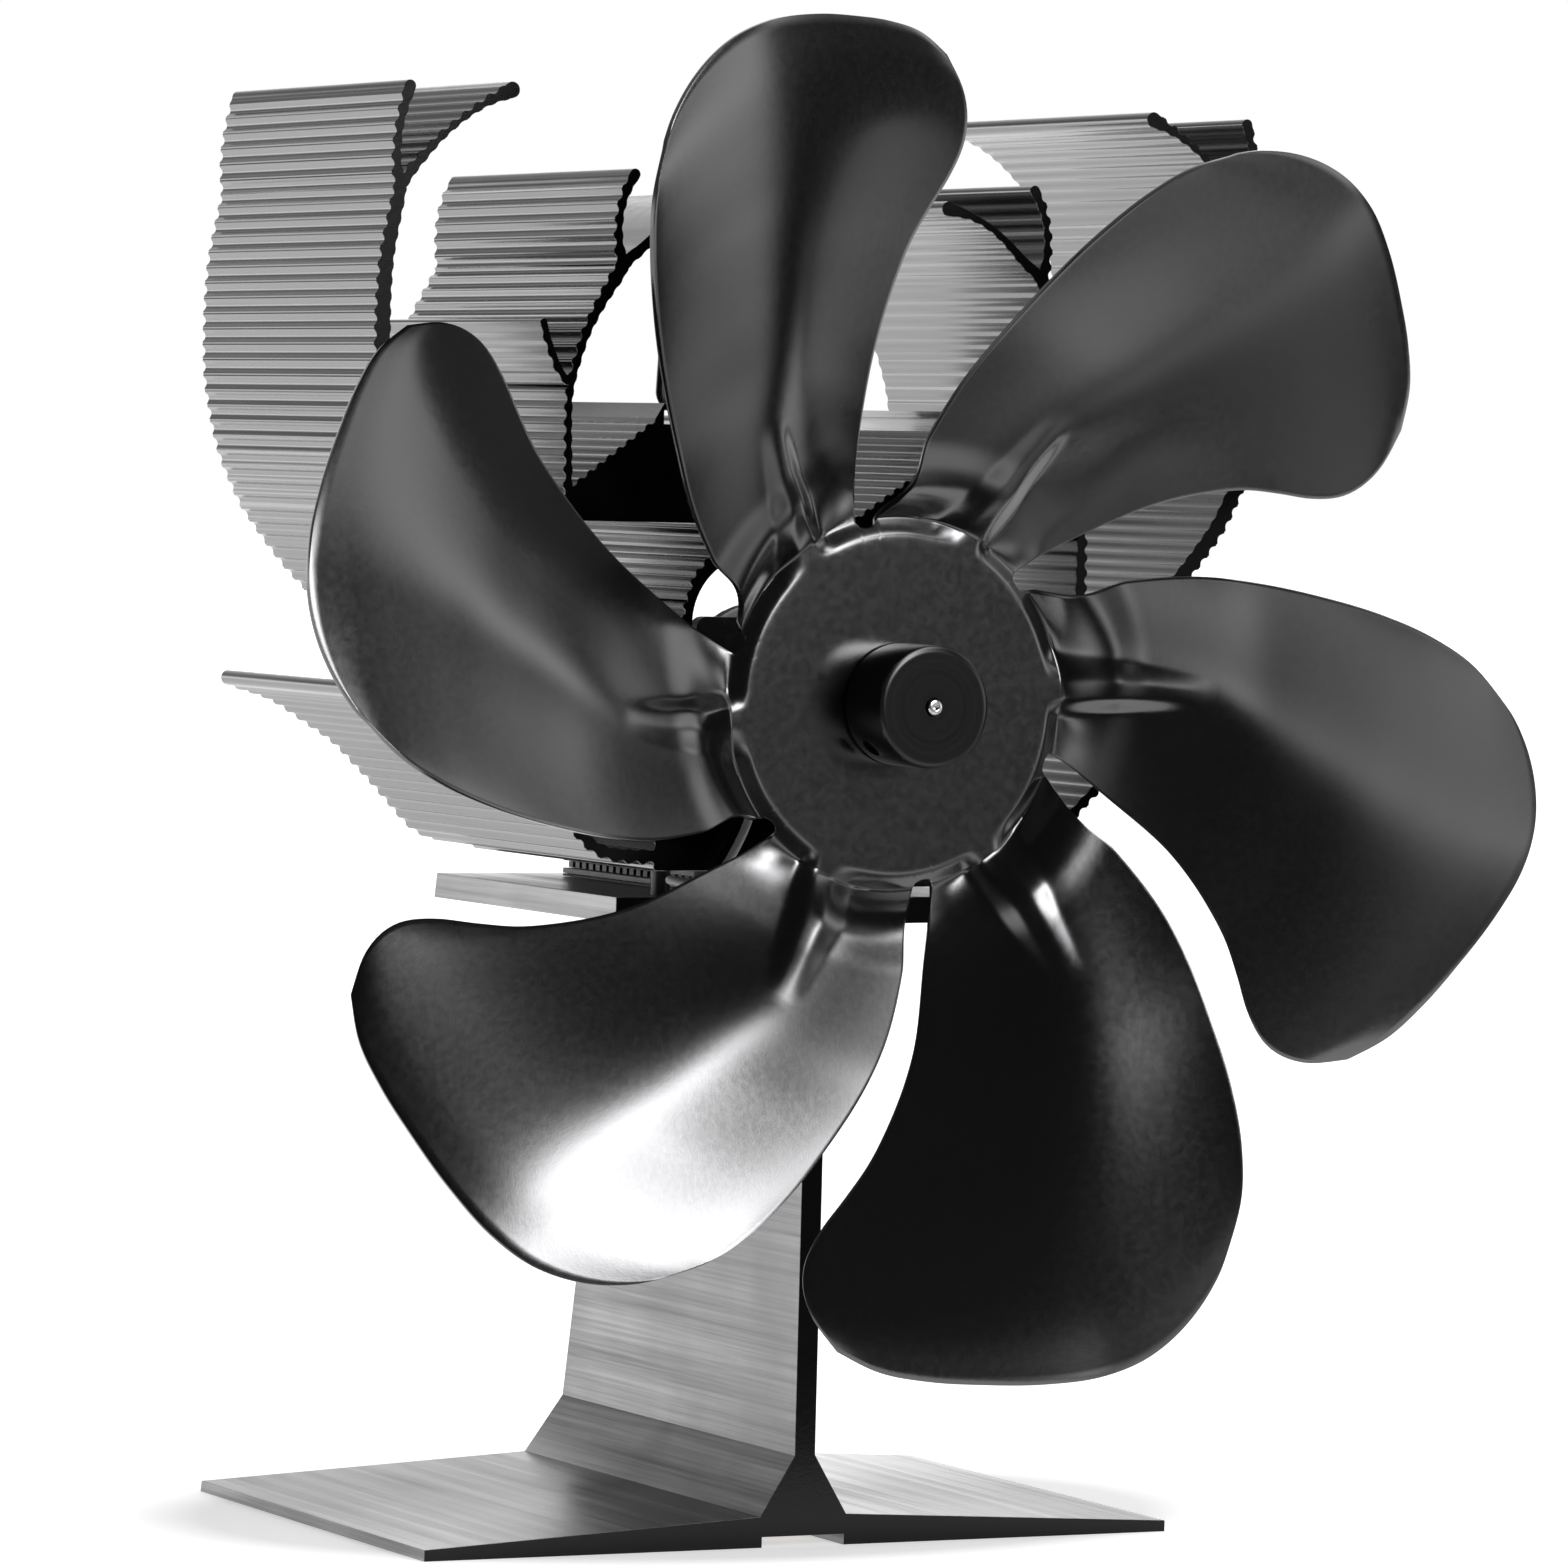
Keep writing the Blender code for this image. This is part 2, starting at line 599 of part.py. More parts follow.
def core_outline():
    """The middle of the heat sink, ribbed on its slopes, with a hooked lip at each shoulder."""
    slope = ribbed_side((-VALLEY_HALF_WIDTH, VALLEY_RISE), (-SHOULDER_EDGE, SHOULDER_RISE), 1)
    hook = [(-SHOULDER_EDGE, SHOULDER_RISE), (-HOOK_BACK, SHOULDER_RISE),
            (-HOOK_BACK, SHOULDER_RISE + HOOK_SLOT),
            (-SHOULDER_EDGE, SHOULDER_RISE + HOOK_SLOT),
            (-SHOULDER_EDGE, SHOULDER_RISE + HOOK_SLOT + HOOK_LIP),
            (-HOOK_BACK, SHOULDER_RISE + HOOK_SLOT + HOOK_LIP)]
    diagonal = ribbed_side((-HOOK_OUTER, SHOULDER_RISE + HOOK_SLOT / 2),
                           (-TRUNK_HALF_WIDTH, SHOULDER_TOE_RISE), 1)
    shelf = [(-TRUNK_HALF_WIDTH, SHOULDER_TOE_RISE), (-TRUNK_HALF_WIDTH, SHOULDER_UNDERSIDE_RISE),
             (-CORE_WAIST_HALF_WIDTH, SHOULDER_UNDERSIDE_RISE)]
    wall = ribbed_side((-CORE_WAIST_HALF_WIDTH, CORE_WAIST_RISE),
                       (-CORE_BASE_HALF_WIDTH, -SOLE_DROP * 0.85), 1)
    sole = [(-CORE_BASE_HALF_WIDTH, -SOLE_DROP)]
    left = [*slope, *hook, *diagonal, *shelf, *wall, *sole]
    return [*left, *mirrored(left)]


def arm_outlines():
    """The arms and prongs on the left side of the heat sink."""
    root_x = -(CORE_BASE_HALF_WIDTH - ARM_ROOT_BITE)
    outer = between((root_x, -ARM_ROOT_DROP), (-OUTER_TIP_HALF_WIDTH, OUTER_TIP_RISE),
                    OUTER_ARM_SHARES)
    fork = point_on(outer, OUTER_PRONG_START_SHARE)
    outer_prong = between(fork, (fork[0] + OUTER_PRONG_RUN, fork[1] + OUTER_PRONG_RISE),
                          OUTER_PRONG_SHARES)
    trunk = [(-TRUNK_HALF_WIDTH, height_on(outer, -TRUNK_HALF_WIDTH)),
             (-TRUNK_HALF_WIDTH, TRUNK_RISE)]
    inner = between(trunk[1], (-INNER_TIP_HALF_WIDTH, INNER_TIP_RISE), INNER_ARM_SHARES)
    fork = point_on(inner, INNER_PRONG_START_SHARE)
    inner_prong = between(fork, (fork[0] + INNER_PRONG_RUN, fork[1] + INNER_PRONG_RISE),
                          INNER_PRONG_SHARES)
    fork = point_on(inner, SIDE_PRONG_START_SHARE)
    side_prong = between(fork, (fork[0] - SIDE_PRONG_RUN, fork[1] + SIDE_PRONG_RISE),
                         SIDE_PRONG_SHARES)
    lower = between((root_x, -LOWER_ARM_ROOT_DROP), (-LOWER_ARM_HALF_WIDTH, LOWER_ARM_RISE),
                    LOWER_ARM_SHARES)
    return [ribbed_strip(outer, ARM_THICKNESS), ribbed_strip(outer_prong, PRONG_THICKNESS),
            ribbed_strip([*trunk, *inner[1:]], ARM_THICKNESS),
            ribbed_strip(inner_prong, PRONG_THICKNESS), ribbed_strip(side_prong, SIDE_PRONG_THICKNESS),
            ribbed_strip(lower, ARM_THICKNESS)]


def tunnel_outlines():
    """The motor's tunnel through the core, less the two bosses on its side walls."""
    tunnel = rounded_rectangle(-TUNNEL_HALF_WIDTH, -TUNNEL_DROP, TUNNEL_HALF_WIDTH, TUNNEL_RISE,
                               TUNNEL_TOP_RADIUS, TUNNEL_FLOOR_RADIUS)
    boss = [(-TUNNEL_HALF_WIDTH, -TUNNEL_BOSS_HALF_HEIGHT),
            (-TUNNEL_HALF_WIDTH + TUNNEL_BOSS_WIDTH, -TUNNEL_BOSS_HALF_HEIGHT),
            (-TUNNEL_HALF_WIDTH + TUNNEL_BOSS_WIDTH, TUNNEL_BOSS_HALF_HEIGHT),
            (-TUNNEL_HALF_WIDTH, TUNNEL_BOSS_HALF_HEIGHT)]
    return united([tunnel], [boss, mirrored(boss)])


def clamp_places():
    """Name, X and Y of the two clamp screws, on a diagonal."""
    return (("front", -CLAMP_HALF_SPACING, CLAMP_INSET),
            ("back", CLAMP_HALF_SPACING, SINK_DEPTH - CLAMP_INSET))


def make_heat_sink():
    """The black extrusion with its curved, ribbed arms and the tunnel for the motor."""
    fin = [(-FIN_HALF_THICKNESS, 0), (FIN_HALF_THICKNESS, 0), (FIN_HALF_THICKNESS, FIN_RISE),
           (-FIN_HALF_THICKNESS, FIN_RISE)]
    arms = arm_outlines()
    outlines = [core_outline(), fin, *arms, *map(mirrored, arms)]
    loops = united(outlines, tunnel_outlines())
    loops = [lifted(loop, HUB_HEIGHT) for loop in loops]
    sink = as_mesh(prism("heat_sink", loops, 0, SINK_DEPTH, finish("Sink black", 0.012, 0.42, 0)))
    boss_face = PLATE_FRONT_Y + PLATE_DEPTH + CLEARANCE
    inside = TUNNEL_HALF_WIDTH - TUNNEL_BOSS_WIDTH - OVERRUN / 4
    for side, name in ((-1, "left"), (1, "right")):
        ends = sorted((side * inside, side * TUNNEL_HALF_WIDTH))
        height = TUNNEL_BOSS_HALF_HEIGHT + OVERRUN / 8
        cut(sink, box(f"Boss face {name}", (ends[0], -OVERRUN, HUB_HEIGHT - height),
                      (ends[1], boss_face, HUB_HEIGHT + height)))
        x = side * PLATE_SCREW_SPREAD
        drill(sink, f"Plate thread {name}", (x, 0, HUB_HEIGHT),
              (x, boss_face + SCREW_BITE + CLEARANCE, HUB_HEIGHT), SCREW_RADIUS + CLEARANCE / 2, 16)
    for name, x, y in clamp_places():
        drill(sink, f"Clamp thread {name}", (x, y, SOLE_Z - OVERRUN / 4),
              (x, y, SOLE_Z + CLAMP_BITE + CLEARANCE), CLAMP_RADIUS + CLEARANCE / 2)
    reach = FIN_HALF_THICKNESS + OVERRUN
    drill(sink, "Handle hole", (-reach, HANDLE_Y, HANDLE_Z), (reach, HANDLE_Y, HANDLE_Z),
          HANDLE_WIRE_RADIUS + HANDLE_FOOT_GAP, 16)
    return sink


# Thermoelectric module

def make_module():
    """Two ceramic plates with the pellets between them, and a soft pad above and below."""
    white = (0.62, 0.45, 0)
    layers = (("hot_pad", PAD_THICKNESS, 0, (0.30, 0.8, 0)),
              ("module_hot_plate", PLATE_THICKNESS, 0, white),
              ("module_pellets", PELLET_HEIGHT, PELLET_INSET, (0.08, 0.5, 0.6)),
              ("module_cold_plate", PLATE_THICKNESS, 0, white),
              ("cold_pad", PAD_THICKNESS, 0, (0.30, 0.8, 0)))
    bottom = FLANGE_TOP_Z + STACK_GAP
    for name, height, inset, look in layers:
        box(name, (inset - MODULE_HALF_WIDTH, MODULE_SETBACK + inset, bottom),
            (MODULE_HALF_WIDTH - inset, MODULE_SETBACK + MODULE_DEPTH - inset, bottom + height),
            finish(f"{name} material", *look))
        bottom += height + STACK_GAP


def make_leads():
    """The two leads from the module's front edge into the tunnel and up to the motor."""
    for side, name, grey in ((1, "module_lead_left", 0.02), (-1, "module_lead_right", 0.10)):
        start = (LEAD_ROUTE[0][0] * 0.75, MODULE_SETBACK - CLEARANCE + PELLET_INSET,
                 FLANGE_TOP_Z + STACK_HEIGHT / 2 - HUB_HEIGHT)
        end = (-TERMINAL_SPREAD, LEAD_ROUTE[-1][1],
               -TERMINAL_WIDTH / 2 - CLEARANCE)
        route = smooth_path([start, *LEAD_ROUTE, end], LEAD_STEP)
        points = [(side * x, y, z + HUB_HEIGHT) for x, y, z in route]
        wire(name, points, LEAD_RADIUS, finish(f"{name} sleeve", grey, 0.5, 0))


def make_clamp_screws():
    """The socket screws and their washers, which pull the heat sink down onto the stand."""
    steel = finish("Clamp screw steel", 0.35, 0.35, 1)
    washer_look = finish("Insulating washer", 0.5, 0.6, 0)
    flange_bottom = FLANGE_TOP_Z - FLANGE_THICKNESS
    washer_top = flange_bottom - CLEARANCE
    head_top = washer_top - CLAMP_WASHER_THICKNESS - CLEARANCE
    tip = SOLE_Z + CLAMP_BITE
    head_bottom = head_top - CLAMP_HEAD_HEIGHT
    profile = [(0, tip), (CLAMP_RADIUS, tip), (CLAMP_RADIUS, head_top),
               (CLAMP_HEAD_RADIUS, head_top), (CLAMP_HEAD_RADIUS, head_bottom), (0, head_bottom)]
    for name, x, y in clamp_places():
        turned(f"clamp_washer_{name}",
               tube_profile(CLAMP_RADIUS + CLEARANCE / 2, CLAMP_WASHER_RADIUS,
                            CLAMP_WASHER_THICKNESS),
               washer_look, (x, y, washer_top - CLAMP_WASHER_THICKNESS), UPRIGHT, 24, True)
        screw = turned(f"clamp_screw_{name}", profile, steel, (x, y, 0), UPRIGHT, 24)
        drill(screw, f"Socket {name}", (x, y, head_bottom - OVERRUN),
              (x, y, head_bottom + HEX_DEPTH), HEX_RADIUS, 6)


# Motor

def make_motor_plate():
    """The black plate across the mouth of the tunnel, which carries the motor."""
    outline = rounded_rectangle(-PLATE_HALF_WIDTH, -PLATE_DROP, PLATE_HALF_WIDTH, PLATE_RISE,
                                PLATE_CORNER, PLATE_CORNER)
    plate = as_mesh(prism("motor_plate", [lifted(outline, HUB_HEIGHT)], PLATE_FRONT_Y,
                          PLATE_FRONT_Y + PLATE_DEPTH, finish("Plate black", 0.015, 0.4, 0.2)))
    holes = ((0, BUSH_RADIUS + CLEARANCE), (-PLATE_SCREW_SPREAD, SCREW_RADIUS + CLEARANCE),
             (PLATE_SCREW_SPREAD, SCREW_RADIUS + CLEARANCE),
             (-MOTOR_SCREW_SPREAD, SCREW_RADIUS + CLEARANCE),
             (MOTOR_SCREW_SPREAD, SCREW_RADIUS + CLEARANCE))
    for x, radius in holes:
        drill(plate, f"Plate hole {x:.4f}", (x, -OVERRUN, HUB_HEIGHT),
              (x, PLATE_FRONT_Y + PLATE_DEPTH + OVERRUN / 2, HUB_HEIGHT), radius)


def make_plate_screws():
    """Two screws hold the plate in the tunnel, and two shorter ones hold the motor on it."""
    steel = finish("Screw steel", 0.3, 0.35, 1)
    bites = ((PLATE_SCREW_SPREAD, "plate_screw", SCREW_BITE + CLEARANCE),
             (MOTOR_SCREW_SPREAD, "motor_screw", MOTOR_SCREW_BITE))
    for spread, name, bite in bites:
        reach = CLEARANCE + PLATE_DEPTH + bite
        profile = [(0, reach), (SCREW_RADIUS, reach), (SCREW_RADIUS, 0), (SCREW_HEAD_RADIUS, 0),
                   (SCREW_HEAD_RADIUS, -SCREW_HEAD_HEIGHT * 0.6),
                   (SCREW_HEAD_RADIUS * 0.7, -SCREW_HEAD_HEIGHT), (0, -SCREW_HEAD_HEIGHT)]
        for side, end in ((-1, "left"), (1, "right")):
            turned(f"{name}_{end}", profile, steel,
                   (side * spread, PLATE_FRONT_Y - CLEARANCE, HUB_HEIGHT), ALONG_Y, 16)


def make_motor_case():
    """The can with its magnets, and the end cap with its bushes, brushes and terminals."""
    steel = finish("Motor steel", 0.45, 0.3, 1)
    bore = MOTOR_RADIUS - MOTOR_WALL
    bush_hole = BUSH_RADIUS + STACK_GAP
    place = (0, MOTOR_FRONT_Y, HUB_HEIGHT)
    can = turned("motor_can", [(MOTOR_RADIUS, MOTOR_LENGTH), (MOTOR_RADIUS, 0), (bush_hole, 0),
                               (bush_hole, MOTOR_FACE), (bore, MOTOR_FACE), (bore, MOTOR_LENGTH)],
                 steel, place, ALONG_Y, 40, True)
    for side, name in ((-1, "left"), (1, "right")):
        x = side * MOTOR_SCREW_SPREAD
        drill(can, f"Motor thread {name}", (x, MOTOR_FRONT_Y - OVERRUN / 4, HUB_HEIGHT),
              (x, MOTOR_FRONT_Y + MOTOR_FACE + OVERRUN / 8, HUB_HEIGHT),
              SCREW_RADIUS + CLEARANCE / 2, 16)
    spigot = bore - STACK_GAP
    cap_back = MOTOR_LENGTH + STACK_GAP + END_CAP_THICKNESS
    spigot_front = MOTOR_LENGTH - END_CAP_THICKNESS
    cap = turned("motor_end_cap",
                 [(MOTOR_RADIUS, cap_back), (MOTOR_RADIUS, MOTOR_LENGTH + STACK_GAP),
                  (spigot, MOTOR_LENGTH + STACK_GAP), (spigot, spigot_front),
                  (bush_hole, spigot_front), (bush_hole, cap_back)],
                 finish("End cap plastic", 0.6, 0.5, 0), place, ALONG_Y, 40, True)
    bronze = finish("Sintered bronze", 0.5, 0.45, 1, (1, 0.72, 0.45))
    bush = tube_profile(SHAFT_RADIUS + BUSH_BORE_GAP, BUSH_RADIUS, BUSH_LENGTH)
    turned("front_bush", bush, bronze,
           (0, MOTOR_FRONT_Y + MOTOR_FACE - BUSH_LENGTH, HUB_HEIGHT), ALONG_Y, 32, True)
    turned("rear_bush", bush, bronze,
           (0, MOTOR_FRONT_Y + cap_back - BUSH_LENGTH + STACK_GAP, HUB_HEIGHT), ALONG_Y, 32, True)
    make_magnets(bore - STACK_GAP)
    brush_y = MOTOR_FRONT_Y + spigot_front - CLEARANCE - COMMUTATOR_LENGTH / 2
    for side, name in ((-1, "left"), (1, "right")):
        x = side * TERMINAL_SPREAD
        terminal = box(f"terminal_{name}",
                       (x - TERMINAL_THICKNESS / 2, brush_y - BRUSH_WIDTH,
                        HUB_HEIGHT - TERMINAL_WIDTH / 2),
                       (x + TERMINAL_THICKNESS / 2, MOTOR_FRONT_Y + cap_back + TERMINAL_LENGTH,
                        HUB_HEIGHT + TERMINAL_WIDTH / 2),
                       finish(f"Terminal {name}", 0.6, 0.35, 1, (1, 0.85, 0.55)))
        slot = box(f"Terminal slot {name}",
                   (x - TERMINAL_THICKNESS / 2 - STACK_GAP, brush_y,
                    HUB_HEIGHT - TERMINAL_WIDTH / 2 - STACK_GAP),
                   (x + TERMINAL_THICKNESS / 2 + STACK_GAP, MOTOR_FRONT_Y + cap_back + OVERRUN,
                    HUB_HEIGHT + TERMINAL_WIDTH / 2 + STACK_GAP))
        cut(cap, slot)
        ends = sorted((side * (COMMUTATOR_RADIUS + STACK_GAP),
                       side * (TERMINAL_SPREAD - TERMINAL_THICKNESS / 2 - STACK_GAP)))
        box(f"brush_{name}", (ends[0], brush_y - BRUSH_THICKNESS / 2, HUB_HEIGHT - BRUSH_WIDTH / 2),
            (ends[1], brush_y + BRUSH_THICKNESS / 2, HUB_HEIGHT + BRUSH_WIDTH / 2),
            finish(f"Carbon {name}", 0.05, 0.6, 0.3))
    return brush_y


def arc_outline(inner, outer, middle, half_angle, steps=10):
    """A part of a ring about the hub axis."""
    angles = [middle + half_angle * (2 * i / steps - 1) for i in range(steps + 1)]
    rim = [(outer * math.cos(angle), HUB_HEIGHT + outer * math.sin(angle)) for angle in angles]
    back = [(inner * math.cos(angle), HUB_HEIGHT + inner * math.sin(angle)) for angle in angles]
    return [*rim, *reversed(back)]


def make_magnets(radius):
    """The two curved magnets inside the can."""
    front = MOTOR_FRONT_Y + MOTOR_FACE + CLEARANCE
    for name, middle in (("upper", math.pi / 2), ("lower", -math.pi / 2)):
        prism(f"magnet_{name}", [arc_outline(radius - MAGNET_THICKNESS, radius, middle,
                                             MAGNET_HALF_ANGLE)],
              front, front + MAGNET_LENGTH, finish(f"Ferrite {name}", 0.04, 0.6, 0.2))


def on_axis(obj):
    """Moves an object's origin onto the hub axis, and leaves its shape where it is."""
    bpy.context.view_layer.update()
    shift = mathutils.Vector((0, 0, HUB_HEIGHT)) - obj.matrix_world.translation
    shift.y = 0
    obj.data.transform(mathutils.Matrix.Translation(-(obj.matrix_world.to_3x3().inverted() @ shift)))
    obj.location += shift
    return obj


def make_armature(brush_y):
    """The shaft with the armature, its three windings and the commutator."""
    middle = MOTOR_FRONT_Y + MOTOR_FACE + CLEARANCE + MAGNET_LENGTH / 2
    front = middle - ARMATURE_LENGTH / 2
    inner = ARMATURE_RADIUS - POLE_SHOE_THICKNESS
    shapes = [arc_outline(0.9 * ARMATURE_HUB_RADIUS, ARMATURE_HUB_RADIUS, 0, math.pi, 24)[:25]]
    turns = [math.pi / 2 + FULL_TURN * i / ARMATURE_POLES for i in range(ARMATURE_POLES)]
    for turn in turns:
        shapes.append(arc_outline(inner, ARMATURE_RADIUS, turn, POLE_HALF_ANGLE))
        along = mathutils.Vector((math.cos(turn), math.sin(turn)))
        across = mathutils.Vector((-along.y, along.x)) * POLE_NECK_WIDTH / 2
        ends = (across, -across, along * (inner + POLE_SHOE_THICKNESS / 2) - across,
                along * (inner + POLE_SHOE_THICKNESS / 2) + across)
        shapes.append([(end.x, HUB_HEIGHT + end.y) for end in ends])
    bore = arc_outline(0, SHAFT_RADIUS + STACK_GAP, 0, math.pi, 24)[:25]
    core = prism("armature_core", united(shapes, [bore]), front, front + ARMATURE_LENGTH,
                 finish("Armature steel", 0.3, 0.4, 1))
    on_axis(as_mesh(core))
    copper = finish("Enamelled copper", 0.5, 0.3, 1, (1, 0.5, 0.3))
    width = (POLE_NECK_WIDTH + CLEARANCE) / 2
    depth = (ARMATURE_LENGTH + CLEARANCE) / 2
    low = ARMATURE_HUB_RADIUS + WINDING_THICKNESS
    high = math.sqrt(inner ** 2 - (width + WINDING_THICKNESS) ** 2) - CLEARANCE
    for turn, name in zip(turns, ("a", "b", "c")):
        coil = box(f"winding_{name}", (low, -depth - WINDING_THICKNESS, -width - WINDING_THICKNESS),
                   (high, depth + WINDING_THICKNESS, width + WINDING_THICKNESS), copper)
        core_space = box(f"Winding bore {name}", (low - OVERRUN / 4, -depth, -width),
                         (high + OVERRUN / 4, depth, width))
        for obj in (coil, core_space):
            obj.location = (0, middle, HUB_HEIGHT)
            obj.rotation_euler = (0, -turn, 0)
        rounded(coil, WINDING_THICKNESS / 3, 1)
        cut(coil, core_space)
    turned("commutator", tube_profile(SHAFT_RADIUS + STACK_GAP, COMMUTATOR_RADIUS,
                                      COMMUTATOR_LENGTH),
           finish("Commutator copper", 0.6, 0.25, 1, (1, 0.6, 0.4)),
           (0, brush_y - COMMUTATOR_LENGTH / 2, HUB_HEIGHT), ALONG_Y, 24, True)
    shaft_front = BOSS_FRONT_Y - SHAFT_PROUD
    shaft_back = MOTOR_BACK_Y + STACK_GAP + END_CAP_THICKNESS + SHAFT_PROUD
    profile = [(0, shaft_back), (SHAFT_RADIUS, shaft_back),
               (SHAFT_RADIUS, shaft_front), (0, shaft_front)]
    turned("motor_shaft", profile, finish("Shaft steel", 0.6, 0.2, 1), (0, 0, HUB_HEIGHT), ALONG_Y)


# Hub boss and fan wheel

def make_hub_boss():
    """The turned boss in front of the wheel, peened over behind it, with its set screw."""
    back = BOSS_FRONT_Y + BOSS_LENGTH
    lip_front = WHEEL_BACK_Y + CLEARANCE
    lip_back = lip_front + BOSS_LIP_LENGTH
    bore = SHAFT_RADIUS + BOSS_BORE_GAP
    profile = [(BOSS_LIP_RADIUS - BOSS_CHAMFER, lip_back),
               (BOSS_LIP_RADIUS, lip_back - BOSS_CHAMFER), (BOSS_LIP_RADIUS, lip_front),
               (BOSS_SPIGOT_RADIUS, lip_front), (BOSS_SPIGOT_RADIUS, back), (BOSS_RADIUS, back),
               (BOSS_RADIUS, BOSS_FRONT_Y + BOSS_CHAMFER),
               (BOSS_RADIUS - BOSS_CHAMFER, BOSS_FRONT_Y), (bore, BOSS_FRONT_Y), (bore, lip_back)]
    black = finish("Boss black", 0.015, 0.25, 0.3)
    boss = turned("hub_boss", profile, black, (0, 0, HUB_HEIGHT), ALONG_Y, 48, True)
    y = BOSS_FRONT_Y + SET_SCREW_SETBACK
    way = mathutils.Vector((math.cos(SET_SCREW_ANGLE), 0, math.sin(SET_SCREW_ANGLE)))
    centre = mathutils.Vector((0, y, HUB_HEIGHT))
    drill(boss, "Set screw hole", centre, centre + way * (BOSS_RADIUS + OVERRUN),
          SET_SCREW_RADIUS + STACK_GAP)
    inner = centre + way * (SHAFT_RADIUS + STACK_GAP)
    outer = centre + way * (BOSS_RADIUS - SET_SCREW_RECESS)
    screw = rod("set_screw", inner, outer, SET_SCREW_RADIUS, 24,
                finish("Set screw steel", 0.12, 0.4, 0.8), (0, y, HUB_HEIGHT))
    drill(screw, "Set screw socket", outer - way * HEX_DEPTH, outer + way * OVERRUN,
          SET_SCREW_RADIUS / 2, 6)


def edge_at(shares, share):
    """Angle in degrees and forward share of a blade edge at a share of its length."""
    rows = np.array(shares, float)
    return (np.interp(share, rows[:, 0], rows[:, 1]), np.interp(share, rows[:, 0], rows[:, 2]))


def blade_point(axis, span, chord):
    """A point of a blade's front face, by shares of its length and of its width."""
    lead_angle, lead_reach = edge_at(LEADING_EDGE_SHARES, span)
    trail_angle, trail_reach = edge_at(TRAILING_EDGE_SHARES, span)
    tips = np.array(TIP_SHARES, float)
    first, last = tips[0, 1], tips[-1, 1]
    straight = first + (last - first) * chord
    crown = (np.interp(chord, tips[:, 0], tips[:, 1]) - straight) * span ** 4
    tip_radius = WHEEL_RADIUS * straight
    radius = BLADE_ROOT_RADIUS + (tip_radius - BLADE_ROOT_RADIUS) * span + WHEEL_RADIUS * crown
    angle = axis - math.radians(lead_angle + (trail_angle - lead_angle) * chord)
    reach = BLADE_FORWARD * (lead_reach + (trail_reach - lead_reach) * chord)
    if FINGER_SHARES[0] < chord < FINGER_SHARES[1] and radius < FINGER_REACH_RADIUS:
        taper = (FINGER_REACH_RADIUS - radius) / (FINGER_REACH_RADIUS - BLADE_ROOT_RADIUS)
        reach += DISC_STEP * min(1, 1.6 * taper)
    return (radius * math.cos(angle), SHEET_FRONT_Y - reach, radius * math.sin(angle))


def ring_point(angle, radius, y):
    """A point at an angle, a radius and a depth about the hub axis."""
    return (radius * math.cos(angle), y, radius * math.sin(angle))


def make_fan_wheel():
    """One pressed sheet: a raised disc and six twisted blades, lofted and given its thickness."""
    shape = bmesh.new()
    rings = ((BOSS_SPIGOT_RADIUS + CLEARANCE, DISC_FRONT_Y),
             (DISC_RADIUS - DISC_STEP_WIDTH, DISC_FRONT_Y),
             (DISC_RADIUS, SHEET_FRONT_Y))
    sector = FULL_TURN / BLADE_COUNT
    rows = [[] for _ in rings]
    root, blades = [], []
    for blade in range(BLADE_COUNT):
        axis = math.pi / 2 - sector * blade
        lead = LEADING_EDGE_SHARES[0][1]
        trail = TRAILING_EDGE_SHARES[0][1]
        angles = [axis - math.radians(lead + (trail - lead) * chord) for chord in CHORD_SHARES]
        next_lead = axis - math.radians(lead) - sector
        slot = (angles[-1] + next_lead) / 2
        for row, (radius, y) in zip(rows, rings):
            row.extend(shape.verts.new(ring_point(angle, radius, y)) for angle in (*angles, slot))
        grid = [[shape.verts.new(blade_point(axis, span, chord)) for chord in CHORD_SHARES]
                for span in SPAN_SHARES]
        blades.append(grid)
        slot_floor = DISC_RADIUS + (BLADE_ROOT_RADIUS - DISC_RADIUS) / 2
        root.extend([*grid[0], shape.verts.new(ring_point(slot, slot_floor, SHEET_FRONT_Y))])
    rows.append(root)
    for low, high in zip(rows, rows[1:]):
        for i in range(len(low)):
            after = (i + 1) % len(low)
            shape.faces.new((low[i], high[i], high[after], low[after]))
    for grid in blades:
        for low, high in zip(grid, grid[1:]):
            for i in range(len(low) - 1):
                shape.faces.new((low[i], high[i], high[i + 1], low[i + 1]))
    bmesh.ops.recalc_face_normals(shape, faces=shape.faces)
    shape.normal_update()
    if sum(face.normal.y for face in shape.faces) > 0:
        bmesh.ops.reverse_faces(shape, faces=shape.faces)
    mesh = bpy.data.meshes.new("fan_wheel")
    shape.to_mesh(mesh)
    shape.free()
    wheel = add("fan_wheel", mesh, finish("Blade black", 0.012, 0.28, 0.3), (0, 0, HUB_HEIGHT))
    sheet = wheel.modifiers.new("Sheet", "SOLIDIFY")
    sheet.thickness = SHEET_THICKNESS
    sheet.offset = -1
    return wheel


# Handle

